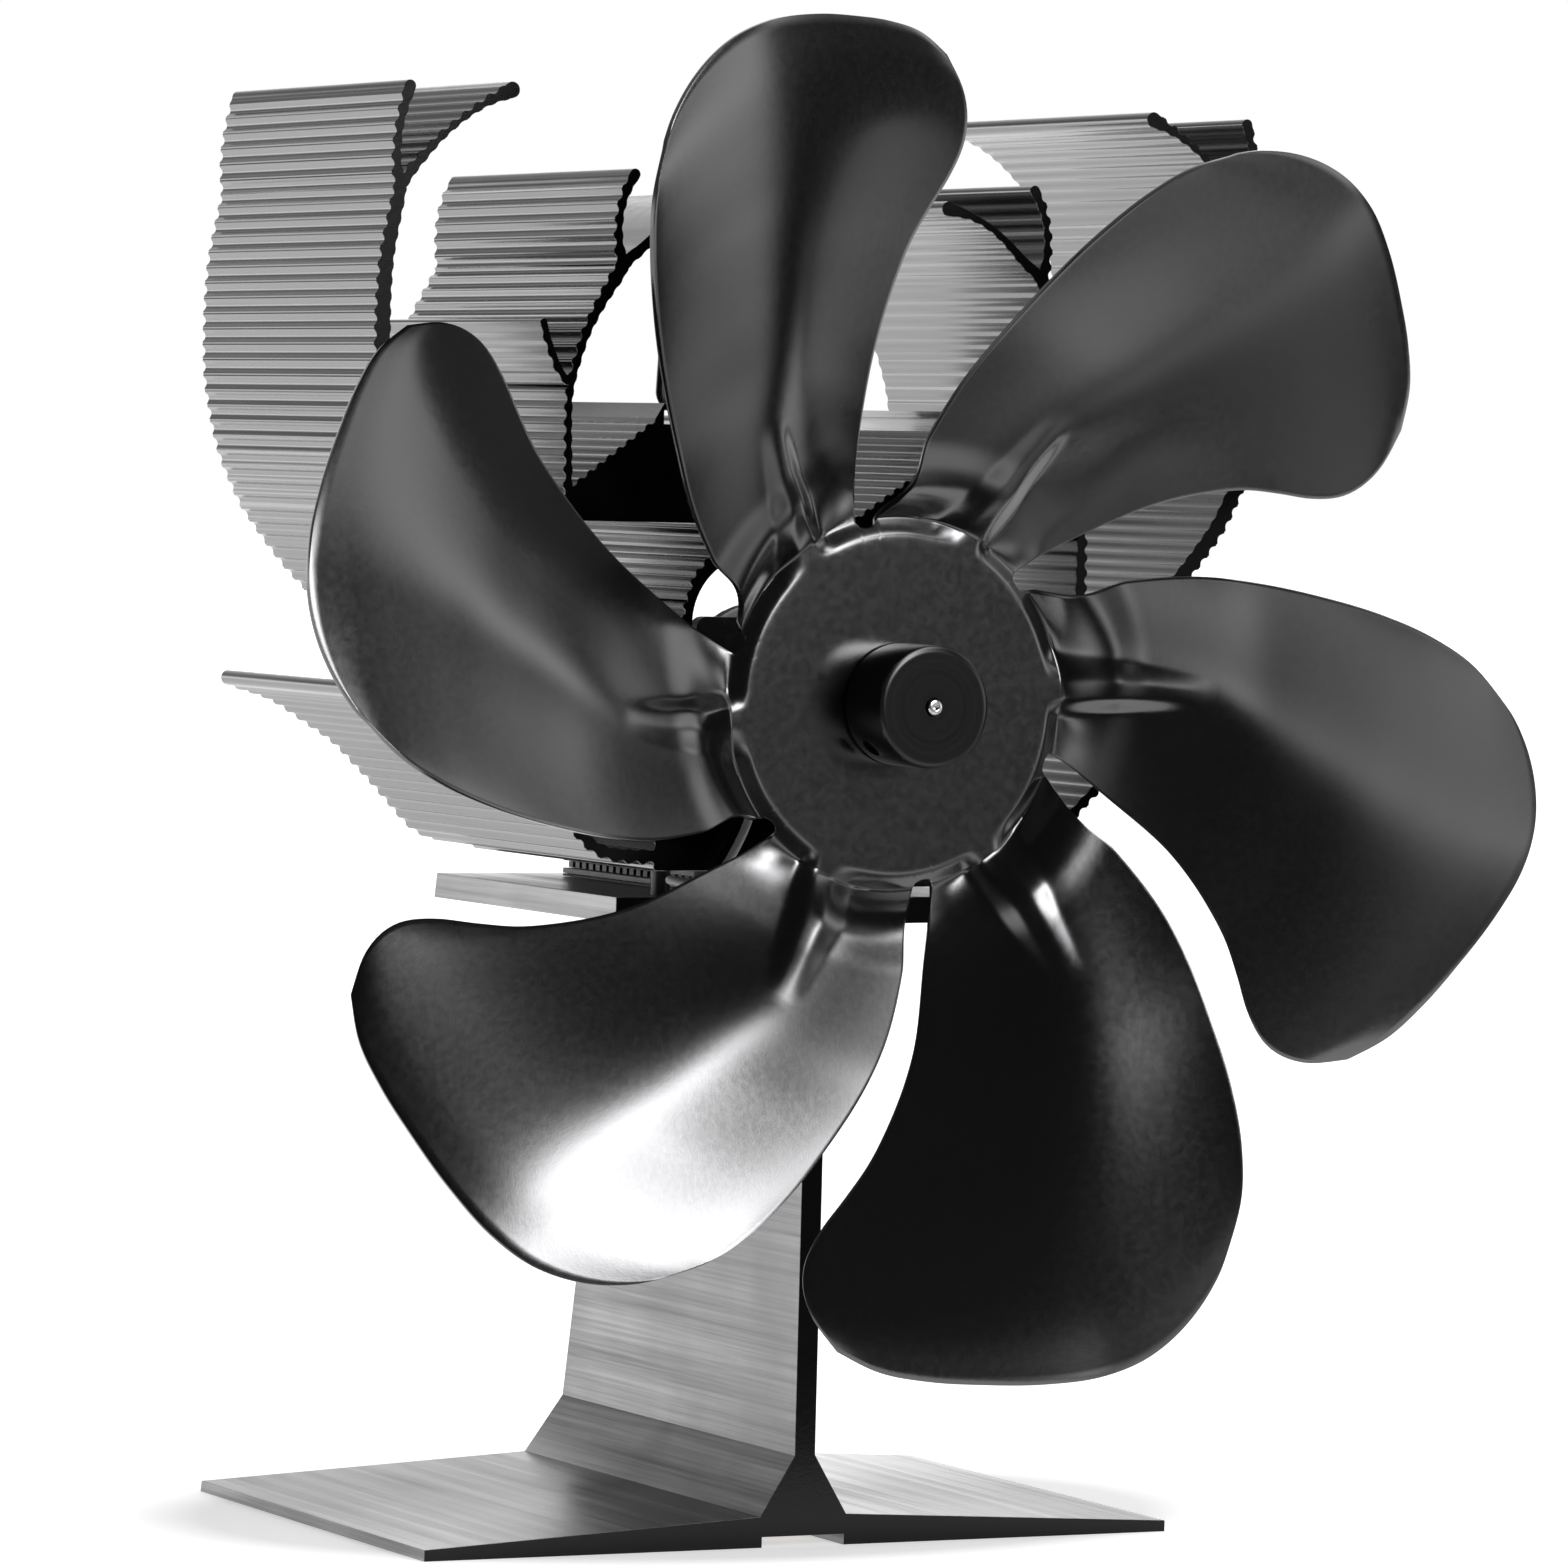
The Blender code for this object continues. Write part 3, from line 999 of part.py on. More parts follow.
def make_handle():
    """The wire bail, whose inturned feet sit in the hole through the middle fin."""
    half = [(CLEARANCE, 0)]
    half += [(x, z) for x, z in rounded_corner(HANDLE_HALF_WIDTH - HANDLE_FOOT_CORNER,
                                               HANDLE_FOOT_CORNER, HANDLE_FOOT_CORNER, -90, 5)]
    half += rounded_corner(HANDLE_HALF_WIDTH - HANDLE_LEAN - HANDLE_CORNER,
                           HANDLE_RISE - HANDLE_CORNER, HANDLE_CORNER, 0, 6)
    path = [*half, *mirrored(half)]
    points = [(x, HANDLE_Y, HANDLE_Z + z) for x, z in path]
    wire("handle", points, HANDLE_WIRE_RADIUS, finish("Handle wire", 0.5, 0.3, 1),
         (0, HANDLE_Y, HANDLE_Z), 3)


def centre_in_depth(wheel):
    """Moves everything so that the middle of the whole depth lies at the origin."""
    bpy.context.view_layer.update()
    graph = bpy.context.evaluated_depsgraph_get()
    corners = wheel.evaluated_get(graph).data.vertices
    front = min((wheel.matrix_world @ vertex.co).y for vertex in corners)
    front = min(front, BOSS_FRONT_Y - SHAFT_PROUD)
    back = STAND_DEPTH + FOOT_EXTRA_DEPTH
    shift = -(front + back) / 2
    for obj in bpy.data.objects:
        obj.location.y += shift
    print(f"The heat sink's front face lies at Y {shift:.6f}, the handle's line at "
          f"Y {shift + HANDLE_Y:.6f} and Z {HANDLE_Z:.6f}")


def main():
    clear_scene()
    make_stand()
    make_thermal_strip()
    make_heat_sink()
    make_module()
    make_leads()
    make_clamp_screws()
    make_motor_plate()
    make_plate_screws()
    brush_y = make_motor_case()
    make_armature(brush_y)
    make_hub_boss()
    wheel = make_fan_wheel()
    make_handle()
    centre_in_depth(wheel)


if __name__ == "__main__":
    main()
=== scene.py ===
"""Looks of the stove fan: surfaces, finishes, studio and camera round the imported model.

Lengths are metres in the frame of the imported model. The fan wheel turns about a line along Y, and
the fan blows towards -Y. Each sub-assembly is a class: it builds its meshes from numpy surfaces and
gives every piece its finish.
"""

from __future__ import annotations

import logging
import math
from collections.abc import Sequence
from dataclasses import dataclass
from enum import Enum

import bmesh
import bpy
import numpy as np
from mathutils import Matrix, Vector, geometry


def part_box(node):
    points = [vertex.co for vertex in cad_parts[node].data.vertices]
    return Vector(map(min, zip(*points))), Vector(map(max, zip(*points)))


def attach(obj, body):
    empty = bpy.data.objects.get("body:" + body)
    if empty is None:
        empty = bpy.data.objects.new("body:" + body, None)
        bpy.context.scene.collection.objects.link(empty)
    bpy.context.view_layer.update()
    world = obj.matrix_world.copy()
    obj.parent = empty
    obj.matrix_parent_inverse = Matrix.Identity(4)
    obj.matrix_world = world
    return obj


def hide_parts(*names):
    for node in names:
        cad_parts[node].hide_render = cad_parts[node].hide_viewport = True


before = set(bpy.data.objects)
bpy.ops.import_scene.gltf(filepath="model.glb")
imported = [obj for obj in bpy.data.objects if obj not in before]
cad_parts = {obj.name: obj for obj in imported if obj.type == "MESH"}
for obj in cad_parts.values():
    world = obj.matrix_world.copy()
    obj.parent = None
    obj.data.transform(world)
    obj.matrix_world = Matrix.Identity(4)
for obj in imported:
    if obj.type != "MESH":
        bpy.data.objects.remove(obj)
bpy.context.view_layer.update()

LOG = logging.getLogger("stove fan")
Colour = tuple[float, float, float]
Rows = Sequence[Sequence[float]]

MILLIMETRE = 0.001
TOUCHING = 1e-7
HUB_HEIGHT = 0.1113
SINK_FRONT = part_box("heat_sink")[0][1]
SINK_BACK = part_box("heat_sink")[1][1]
SHEET_FRONT = SINK_FRONT - 0.0195
DISC_FRONT = SHEET_FRONT - 0.0012


# Curves and tables


def smooth_value(table: Rows, column: int, at: np.ndarray) -> np.ndarray:
    """Reads a table by a smooth curve through its points.

    Between two rows the curve is the cubic that meets both values and both slopes, where a slope is
    the weighted mean of those on its two sides.

    Args:
        table: Rows whose first number is the place and whose others are values.
        column: Which value is read.
        at: Places to read it at.

    Returns:
        The values, in the shape of the places.
    """
    rows = np.array(table, float)
    places, values = rows[:, 0], rows[:, column]
    slopes = np.gradient(values, places)
    left = np.clip(np.searchsorted(places, at, side="right") - 1, 0, len(places) - 2)
    step = places[left + 1] - places[left]
    share = (at - places[left]) / step
    rise = values[left + 1] - values[left]
    ease = share * share * (3 - 2 * share)
    lean = share * (1 - share) * ((1 - share) * slopes[left] - share * slopes[left + 1]) * step
    return values[left] + rise * ease + lean


def ease(share: np.ndarray) -> np.ndarray:
    """A soft step from 0 to 1: three times the square less twice the cube of the clipped share."""
    clipped = np.clip(share, 0, 1)
    return clipped * clipped * (3 - 2 * clipped)


def ramp(place: np.ndarray, softness: float) -> np.ndarray:
    """A straight ramp from 0 at -1 to 1 at 1, whose two corners are rounded by hyperbolas."""
    upper, lower = (np.sqrt((place + side) ** 2 + softness ** 2) for side in (1, -1))
    return np.clip((upper - lower + 2) / 4, 0, 1)


def smooth_path(points: Rows, step: float) -> np.ndarray:
    """Evenly spaced points on a smooth line through the given ones.

    Each stretch is the cubic that leaves a point along the line between its two neighbours.

    Args:
        points: Points in two or three dimensions.
        step: The spacing wanted.

    Returns:
        The evenly spaced points, ends included.
    """
    given = np.array(points, float)
    ends = np.vstack([2 * given[0] - given[1], given, 2 * given[-1] - given[-2]])
    before, start, end, after = (ends[i:len(ends) - 3 + i, None, :] for i in range(4))
    share = np.linspace(0, 1, 16, endpoint=False)[None, :, None]
    dense = 0.5 * (2 * start + (end - before) * share
                   + (2 * before - 5 * start + 4 * end - after) * share ** 2
                   + (3 * start - before - 3 * end + after) * share ** 3)
    dense = np.vstack([dense.reshape(-1, given.shape[1]), given[-1:]])
    length = np.concatenate([[0], np.cumsum(np.linalg.norm(np.diff(dense, axis=0), axis=1))])
    wanted = np.linspace(0, length[-1], max(2, round(length[-1] / step)) + 1)
    return np.column_stack([np.interp(wanted, length, column) for column in dense.T])


def side_normals(path: np.ndarray) -> np.ndarray:
    """Unit normals on the left of a flat path: the slope of the path, turned by a right angle."""
    along = np.gradient(path, axis=0)
    along /= np.linalg.norm(along, axis=1)[:, None]
    return np.column_stack([-along[:, 1], along[:, 0]])


def corner_arc(centre: tuple[float, float], radius: float, first: float, steps: int = 8) -> np.ndarray:
    """A quarter circle: the centre plus the radius times the cosine and sine of the angle.

    Args:
        centre: The circle's centre.
        radius: Its radius.
        first: The angle of the first point in degrees. The arc runs anticlockwise.
        steps: Number of chords.

    Returns:
        The points of the arc.
    """
    angle = np.radians(first + 90 * np.arange(steps + 1) / steps)
    return np.array(centre) + radius * np.column_stack([np.cos(angle), np.sin(angle)])


def rounded_box(centre: tuple[float, float], half: tuple[float, float],
                corners: tuple[float, float], steps: tuple[int, int]) -> np.ndarray:
    """A rectangle whose upper two and lower two corners are quarter circles, anticlockwise.

    Args:
        centre: Its middle.
        half: Half its width and half its height.
        corners: The radius of the upper and of the lower corners.
        steps: Number of chords in an upper and in a lower corner.

    Returns:
        The closed outline.
    """
    quarters = ((1, 1), (-1, 1), (-1, -1), (1, -1))
    return np.vstack([corner_arc((centre[0] + x * (half[0] - corners[z < 0]),
                                  centre[1] + z * (half[1] - corners[z < 0])),
                                 corners[z < 0], 90 * turn, steps[z < 0])
                      for turn, (x, z) in enumerate(quarters)])


def turns_clockwise(outline: np.ndarray) -> bool:
    """Whether a closed outline runs clockwise: whether its area, as a sum of crosses, is below 0."""
    across, up = outline.T
    return bool(np.sum(across * np.roll(up, -1) - up * np.roll(across, -1)) < 0)


def mirrored(outline: np.ndarray) -> np.ndarray:
    """The outline on the other side of X 0, which still runs the same way round."""
    return outline[::-1] * (-1, 1)


# Meshes


def grid_faces(rows: int, columns: int, around: bool = False) -> np.ndarray:
    """Corner numbers of the quads of a grid whose points are numbered row by row.

    Args:
        rows: Number of rows of points.
        columns: Number of points in a row.
        around: Whether the last point of a row joins the first.

    Returns:
        An array of four corners for each quad.
    """
    row = np.arange(rows - 1)[:, None] * columns
    column = np.arange(columns if around else columns - 1)[None, :]
    after = (column + 1) % columns
    corners = (row + column, row + after, row + columns + after, row + columns + column)
    return np.stack(np.broadcast_arrays(*corners), axis=-1).reshape(-1, 4)


def turned_shape(profile: Rows, axis_place: Vector, along_y: bool = True,
                 steps: int = 96) -> tuple[np.ndarray, np.ndarray]:
    """A profile carried round a line: the radius times the cosine and sine of the angle.

    Args:
        profile: Rows of radius and distance along the line.
        axis_place: A point on the line.
        along_y: Whether the line runs along Y, or else along Z.
        steps: Number of facets round the line.

    Returns:
        The points and the quads.
    """
    radius, along = np.array(profile, float).T
    angle = np.arange(steps) * 2 * np.pi / steps
    first = radius[:, None] * np.cos(angle)
    second = radius[:, None] * np.sin(angle)
    third = np.broadcast_to(along[:, None], first.shape)
    axes = (first, third, second) if along_y else (first, second, third)
    points = np.stack(axes, axis=-1).reshape(-1, 3) + np.array(axis_place)
    return points, grid_faces(len(radius), steps, around=True)


def tube_shape(path: np.ndarray, radius: float, guide: tuple[float, float, float],
               sides: int = 16) -> tuple[np.ndarray, np.ndarray]:
    """A circle carried along a path, square to it, with a small dome on each end.

    Each ring is the path's point plus the radius times the cosine and sine of the angle along two
    directions square to the path. The first of them is the guide less its part along the path. The
    last rings shrink by a quarter circle, so that the ends close in a dome.

    Args:
        path: Points of the middle line.
        radius: The wire's radius.
        guide: A direction that the path never takes.
        sides: Number of facets round the wire.

    Returns:
        The points and the quads.
    """
    along = np.gradient(path, axis=0)
    along /= np.linalg.norm(along, axis=1)[:, None]
    angle = np.linspace(0, np.pi / 2, 5)[1:]
    back = path[0] - along[0] * (radius * np.sin(angle))[::-1, None]
    ahead = path[-1] + along[-1] * (radius * np.sin(angle))[:, None]
    line = np.vstack([back, path, ahead])
    along = np.vstack([np.tile(along[0], (4, 1)), along, np.tile(along[-1], (4, 1))])
    reach = np.concatenate([radius * np.cos(angle)[::-1], np.full(len(path), radius),
                            radius * np.cos(angle)])
    first = np.array(guide) - along * (along @ np.array(guide))[:, None]
    first /= np.linalg.norm(first, axis=1)[:, None]
    second = np.cross(along, first)
    turn = np.arange(sides) * 2 * np.pi / sides
    ring = (np.cos(turn)[None, :, None] * first[:, None, :]
            + np.sin(turn)[None, :, None] * second[:, None, :])
    points = line[:, None, :] + reach[:, None, None] * ring
    return points.reshape(-1, 3), grid_faces(len(line), sides, around=True)


def section_cells(outlines: list[np.ndarray], holes: list[np.ndarray]
                  ) -> tuple[np.ndarray, np.ndarray, np.ndarray]:
    """Cuts the union of the outlines less the holes into triangles.

    A side of a triangle is on the section's edge where no triangle has it the other way round.

    Args:
        outlines: Closed outlines whose areas are joined.
        holes: Closed outlines whose areas are left out.

    Returns:
        The corners, the triangles, and the sides along the section's edge.
    """
    loops = [loop[::-1] if turns_clockwise(loop) else loop for loop in (*outlines, *holes)]
    starts = np.cumsum([0] + [len(loop) for loop in loops])
    areas = [list(range(start, start + len(loop))) for start, loop in zip(starts, loops)]
    found = geometry.delaunay_2d_cdt(np.vstack(loops).tolist(), [], areas, 1, TOUCHING)
    corners = np.array([tuple(corner) for corner in found[0]])
    cells = np.array([cell for cell, cover in zip(found[2], found[5])
                      if cover and max(cover) < len(outlines)])
    sides = np.vstack([cells[:, [0, 1]], cells[:, [1, 2]], cells[:, [2, 0]]])
    code = sides[:, 0] * len(corners) + sides[:, 1]
    twin = sides[:, 1] * len(corners) + sides[:, 0]
    return corners, cells, sides[~np.isin(code, twin)]


def section_shape(outlines: list[np.ndarray], holes: list[np.ndarray], depths: tuple[float, float],
                  chamfer: float) -> tuple[np.ndarray, list[list[int]]]:
    """A flat section carried along Y, with a small chamfer round both cut ends.

    The edge is drawn in by the chamfer along the mean of the normals at each corner for the two end
    rings, and keeps its full size between.

    Args:
        outlines: Closed outlines in X and Z whose areas are joined.
        holes: Closed outlines whose areas are left out.
        depths: Y of the front and of the back.
        chamfer: Width of the chamfer.

    Returns:
        The points and the faces.
    """
    corners, cells, edge = section_cells(outlines, holes)
    start, end = edge.T
    run = corners[end] - corners[start]
    run /= np.linalg.norm(run, axis=1)[:, None]
    outward = np.column_stack([run[:, 1], -run[:, 0]])
    pull = np.zeros_like(corners)
    np.add.at(pull, start, outward)
    np.add.at(pull, end, outward)
    size = np.linalg.norm(pull, axis=1)[:, None]
    pull = np.divide(pull, size, out=np.zeros_like(pull), where=size > 1e-9)
    inner = corners - pull * chamfer
    front, back = depths
    rings = ((inner, front), (corners, front + chamfer), (corners, back - chamfer), (inner, back))
    points = np.vstack([np.column_stack([ring[:, 0], np.full(len(ring), y), ring[:, 1]])
                        for ring, y in rings])
    count = len(corners)
    walls = [np.column_stack([start + count * i, start + count * (i + 1),
                              end + count * (i + 1), end + count * i])[:, ::-1] for i in range(3)]
    return points, [*np.vstack(walls).tolist(), *cells.tolist(),
                    *(cells[:, ::-1] + 3 * count).tolist()]


def make_piece(name: str, points: np.ndarray, faces: Sequence[Sequence[int]], finish: Finish,
               body: str, nodes: Sequence[str] = (), closed: bool = True,
               sharp: float = 35) -> bpy.types.Object:
    """Puts points and faces into a mesh and gives the piece its finish and its body.

    Args:
        name: Name of the piece.
        points: Places of the corners.
        faces: Corner numbers of the faces.
        finish: The finish that it takes.
        body: The body that it rides on.
        nodes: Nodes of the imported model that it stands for.
        closed: Whether it is a closed shell, whose faces are then turned outwards.
        sharp: The angle in degrees above which an edge stays sharp.

    Returns:
        The new object, which sits at the origin.
    """
    mesh = bpy.data.meshes.new(name)
    mesh.from_pydata(np.asarray(points).tolist(), [], np.asarray(faces).tolist()
                     if isinstance(faces, np.ndarray) else faces)
    shape = bmesh.new()
    shape.from_mesh(mesh)
    bmesh.ops.remove_doubles(shape, verts=shape.verts, dist=TOUCHING)
    loose = [vertex for vertex in shape.verts if not vertex.link_faces]
    bmesh.ops.delete(shape, geom=loose, context="VERTS")
    if closed:
        bmesh.ops.recalc_face_normals(shape, faces=shape.faces)
    shape.to_mesh(mesh)
    shape.free()
    return settle(bpy.data.objects.new(name, mesh), finish, body, nodes, sharp)


def settle(piece: bpy.types.Object, finish: Finish, body: str, nodes: Sequence[str],
           sharp: float) -> bpy.types.Object:
    """Links a piece, smooths it, and gives it its finish, its body and the nodes it stands for.

    Args:
        piece: The new object.
        finish: The finish that it takes.
        body: The body that it rides on.
        nodes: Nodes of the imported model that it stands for.
        sharp: The angle in degrees above which an edge stays sharp.

    Returns:
        The same object.
    """
    bpy.context.scene.collection.objects.link(piece)
    piece.data.materials.clear()
    piece.data.materials.append(finish.material())
    piece.data.polygons.foreach_set("use_smooth", np.ones(len(piece.data.polygons), bool))
    piece.data.set_sharp_from_angle(angle=math.radians(sharp))
    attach(piece, body)
    if nodes:
        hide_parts(*nodes)
    LOG.info("%s: %d faces, finish %s", piece.name, len(piece.data.polygons), finish.name)
    return piece


def dressed_node(node: str, finish: Finish, body: str, bevel: float,
                 segments: int = 3) -> bpy.types.Object:
    """A copy of a node with its flat faces joined and its sharp edges rounded.

    Args:
        node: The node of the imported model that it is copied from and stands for.
        finish: The finish that it takes.
        body: The body that it rides on.
        bevel: Width of the rounded edges.
        segments: Facets across a rounded edge.

    Returns:
        The new object.
    """
    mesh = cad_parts[node].data.copy()
    shape = bmesh.new()
    shape.from_mesh(mesh)
    bmesh.ops.remove_doubles(shape, verts=shape.verts, dist=2e-6)
    bmesh.ops.dissolve_limit(shape, angle_limit=math.radians(1), verts=shape.verts,
                             edges=shape.edges)
    bmesh.ops.recalc_face_normals(shape, faces=shape.faces)
    shape.to_mesh(mesh)
    shape.free()
    piece = settle(bpy.data.objects.new(f"{node}_dressed", mesh), finish, body, [node], 35)
    rounding = piece.modifiers.new("Rounded edges", "BEVEL")
    rounding.width = bevel
    rounding.segments = segments
    rounding.limit_method = "ANGLE"
    rounding.angle_limit = math.radians(38)
    rounding.harden_normals = True
    rounding.use_clamp_overlap = True
    return piece


# Shader effects that several finishes share


class Pattern(Enum):
    """The fine relief that covers a finish."""

    GRAIN = "Fine grain"
    LINES = "Drawn lines"
    RINGS = "Turning rings"


class Direction(Enum):
    """The way in which drawn lines run, as the share of each axis that the pattern keeps."""

    ALONG_X = (0.012, 1.0, 1.0)
    ALONG_Y = (1.0, 0.012, 1.0)
    ALONG_Z = (1.0, 1.0, 0.012)
    NONE = (1.0, 1.0, 1.0)


class Group:
    """A shared shader effect under construction, with short calls for its sockets and nodes."""

    def __init__(self, name: str) -> None:
        """Starts an empty effect of that name."""
        self.tree = bpy.data.node_groups.new(name, "ShaderNodeTree")
        self.entry = self.tree.nodes.new("NodeGroupInput")
        self.exit = self.tree.nodes.new("NodeGroupOutput")

    def takes(self, name: str, kind: str = "Float", value: float = 0) -> None:
        """Adds an input socket.

        Args:
            name: Name of the socket.
            kind: Float or Vector.
            value: Its value while nothing is linked to it.
        """
        socket = self.tree.interface.new_socket(name, in_out="INPUT",
                                                socket_type=f"NodeSocket{kind}")
        if kind == "Float":
            socket.default_value = value

    def gives(self, name: str, source: bpy.types.NodeSocket, kind: str = "Float") -> None:
        """Adds an output socket and links its source to it.

        Args:
            name: Name of the socket.
            source: The socket inside the effect.
            kind: Float, Vector or Color.
        """
        self.tree.interface.new_socket(name, in_out="OUTPUT", socket_type=f"NodeSocket{kind}")
        self.tree.links.new(source, self.exit.inputs[name])


def place_node(tree: bpy.types.NodeTree, kind: str, links: dict[int | str, object],
               **settings: object) -> bpy.types.Node:
    """Adds a node with its settings, and links or sets its inputs.

    Args:
        tree: The tree that it joins.
        kind: The node's type, without its common first part.
        links: What each input, by name or number, takes: a socket or a plain value.
        **settings: The node's own settings.

    Returns:
        The new node.
    """
    node = tree.nodes.new(f"ShaderNode{kind}")
    for key, value in settings.items():
        setattr(node, key, value)
    for key, value in links.items():
        if isinstance(value, bpy.types.NodeSocket):
            tree.links.new(value, node.inputs[key])
        else:
            node.inputs[key].default_value = value
    return node


def shared_effect(pattern: Pattern) -> bpy.types.NodeTree:
    """The node group of a pattern, made the first time that a finish asks for it.

    Grain is a fine noise mixed with small cells. Lines are two noises that are long along one axis.
    Rings are a noise read along the distance from the hub's line. Each gives a mask between 0 and
    1, a broad mottle and the normal of its relief.

    Args:
        pattern: The relief wanted.

    Returns:
        The node group.
    """
    found = bpy.data.node_groups.get(pattern.value)
    if found is not None:
        return found
    group = Group(pattern.value)
    group.takes("Vector", "Vector")
    group.takes("Stretch", "Vector")
    group.takes("Fineness", value=2000)
    group.takes("Depth", value=0.00001)
    tree, entry = group.tree, group.entry
    place = entry.outputs["Vector"]
    scaled = place_node(tree, "VectorMath", {0: place, 1: entry.outputs["Stretch"]},
                        operation="MULTIPLY").outputs[0]
    if pattern is Pattern.RINGS:
        centred = place_node(tree, "Mapping", {"Vector": place, "Location": (0, 0, -HUB_HEIGHT)})
        flat = place_node(tree, "VectorMath", {0: centred.outputs[0], 1: (1, 0, 1)},
                          operation="MULTIPLY")
        length = place_node(tree, "VectorMath", {0: flat.outputs[0]}, operation="LENGTH")
        scaled = place_node(tree, "CombineXYZ", {0: length.outputs["Value"]}).outputs[0]
    fine = place_node(tree, "TexNoise", {"Vector": scaled, "Scale": entry.outputs["Fineness"],
                                         "Detail": 3.0, "Roughness": 0.6})
    slower = place_node(tree, "Math", {0: entry.outputs["Fineness"], 1: 0.23}, operation="MULTIPLY")
    coarse = place_node(tree, "TexNoise", {"Vector": scaled, "Scale": slower.outputs[0],
                                           "Detail": 2.0, "Roughness": 0.5})
    mixed = place_node(tree, "Math", {0: fine.outputs[0], 1: coarse.outputs[0]},
                       operation="ADD")
    mask = place_node(tree, "MapRange", {0: mixed.outputs[0], 1: 0.7, 2: 1.3})
    mottle = place_node(tree, "TexNoise", {"Vector": place, "Scale": 38.0, "Detail": 4.0})
    relief = place_node(tree, "Bump", {"Height": mask.outputs[0], "Strength": 1.0,
                                       "Distance": entry.outputs["Depth"]})
    group.gives("Mask", mask.outputs[0])
    group.gives("Mottle", mottle.outputs[0])
    group.gives("Normal", relief.outputs[0], "Vector")
    return group.tree


def dust_effect() -> bpy.types.NodeTree:
    """The node group for dust: the upward share of the normal times a broken noise.

    Returns:
        The node group, whose output is a mask between 0 and 1.
    """
    found = bpy.data.node_groups.get("Settled dust")
    if found is not None:
        return found
    group = Group("Settled dust")
    group.takes("Vector", "Vector")
    tree = group.tree
    facing = place_node(tree, "NewGeometry", {})
    upward = place_node(tree, "SeparateXYZ", {0: facing.outputs["Normal"]})
    level = place_node(tree, "MapRange", {0: upward.outputs[2], 1: 0.35, 2: 1.0})
    broken = place_node(tree, "TexNoise", {"Vector": group.entry.outputs["Vector"],
                                           "Scale": 420.0, "Detail": 6.0, "Roughness": 0.7})
    patches = place_node(tree, "MapRange", {0: broken.outputs[0], 1: 0.42, 2: 0.68})
    mask = place_node(tree, "Math", {0: level.outputs[0], 1: patches.outputs[0]},
                      operation="MULTIPLY")
    group.gives("Mask", mask.outputs[0])
    return group.tree


def wear_effect() -> bpy.types.NodeTree:
    """The node group for worn edges: the sharpness of the surface, broken by a noise.

    Returns:
        The node group, whose output is a mask between 0 and 1.
    """
    found = bpy.data.node_groups.get("Worn edges")
    if found is not None:
        return found
    group = Group("Worn edges")
    group.takes("Vector", "Vector")
    tree = group.tree
    sharpness = place_node(tree, "NewGeometry", {})
    broken = place_node(tree, "TexNoise", {"Vector": group.entry.outputs["Vector"],
                                           "Scale": 900.0, "Detail": 4.0})
    lowered = place_node(tree, "Math", {0: broken.outputs[0], 1: 0.10}, operation="MULTIPLY")
    raised = place_node(tree, "Math", {0: sharpness.outputs["Pointiness"], 1: lowered.outputs[0]},
                        operation="ADD")
    mask = place_node(tree, "MapRange", {0: raised.outputs[0], 1: 0.58, 2: 0.70})
    group.gives("Mask", mask.outputs[0])
    return group.tree


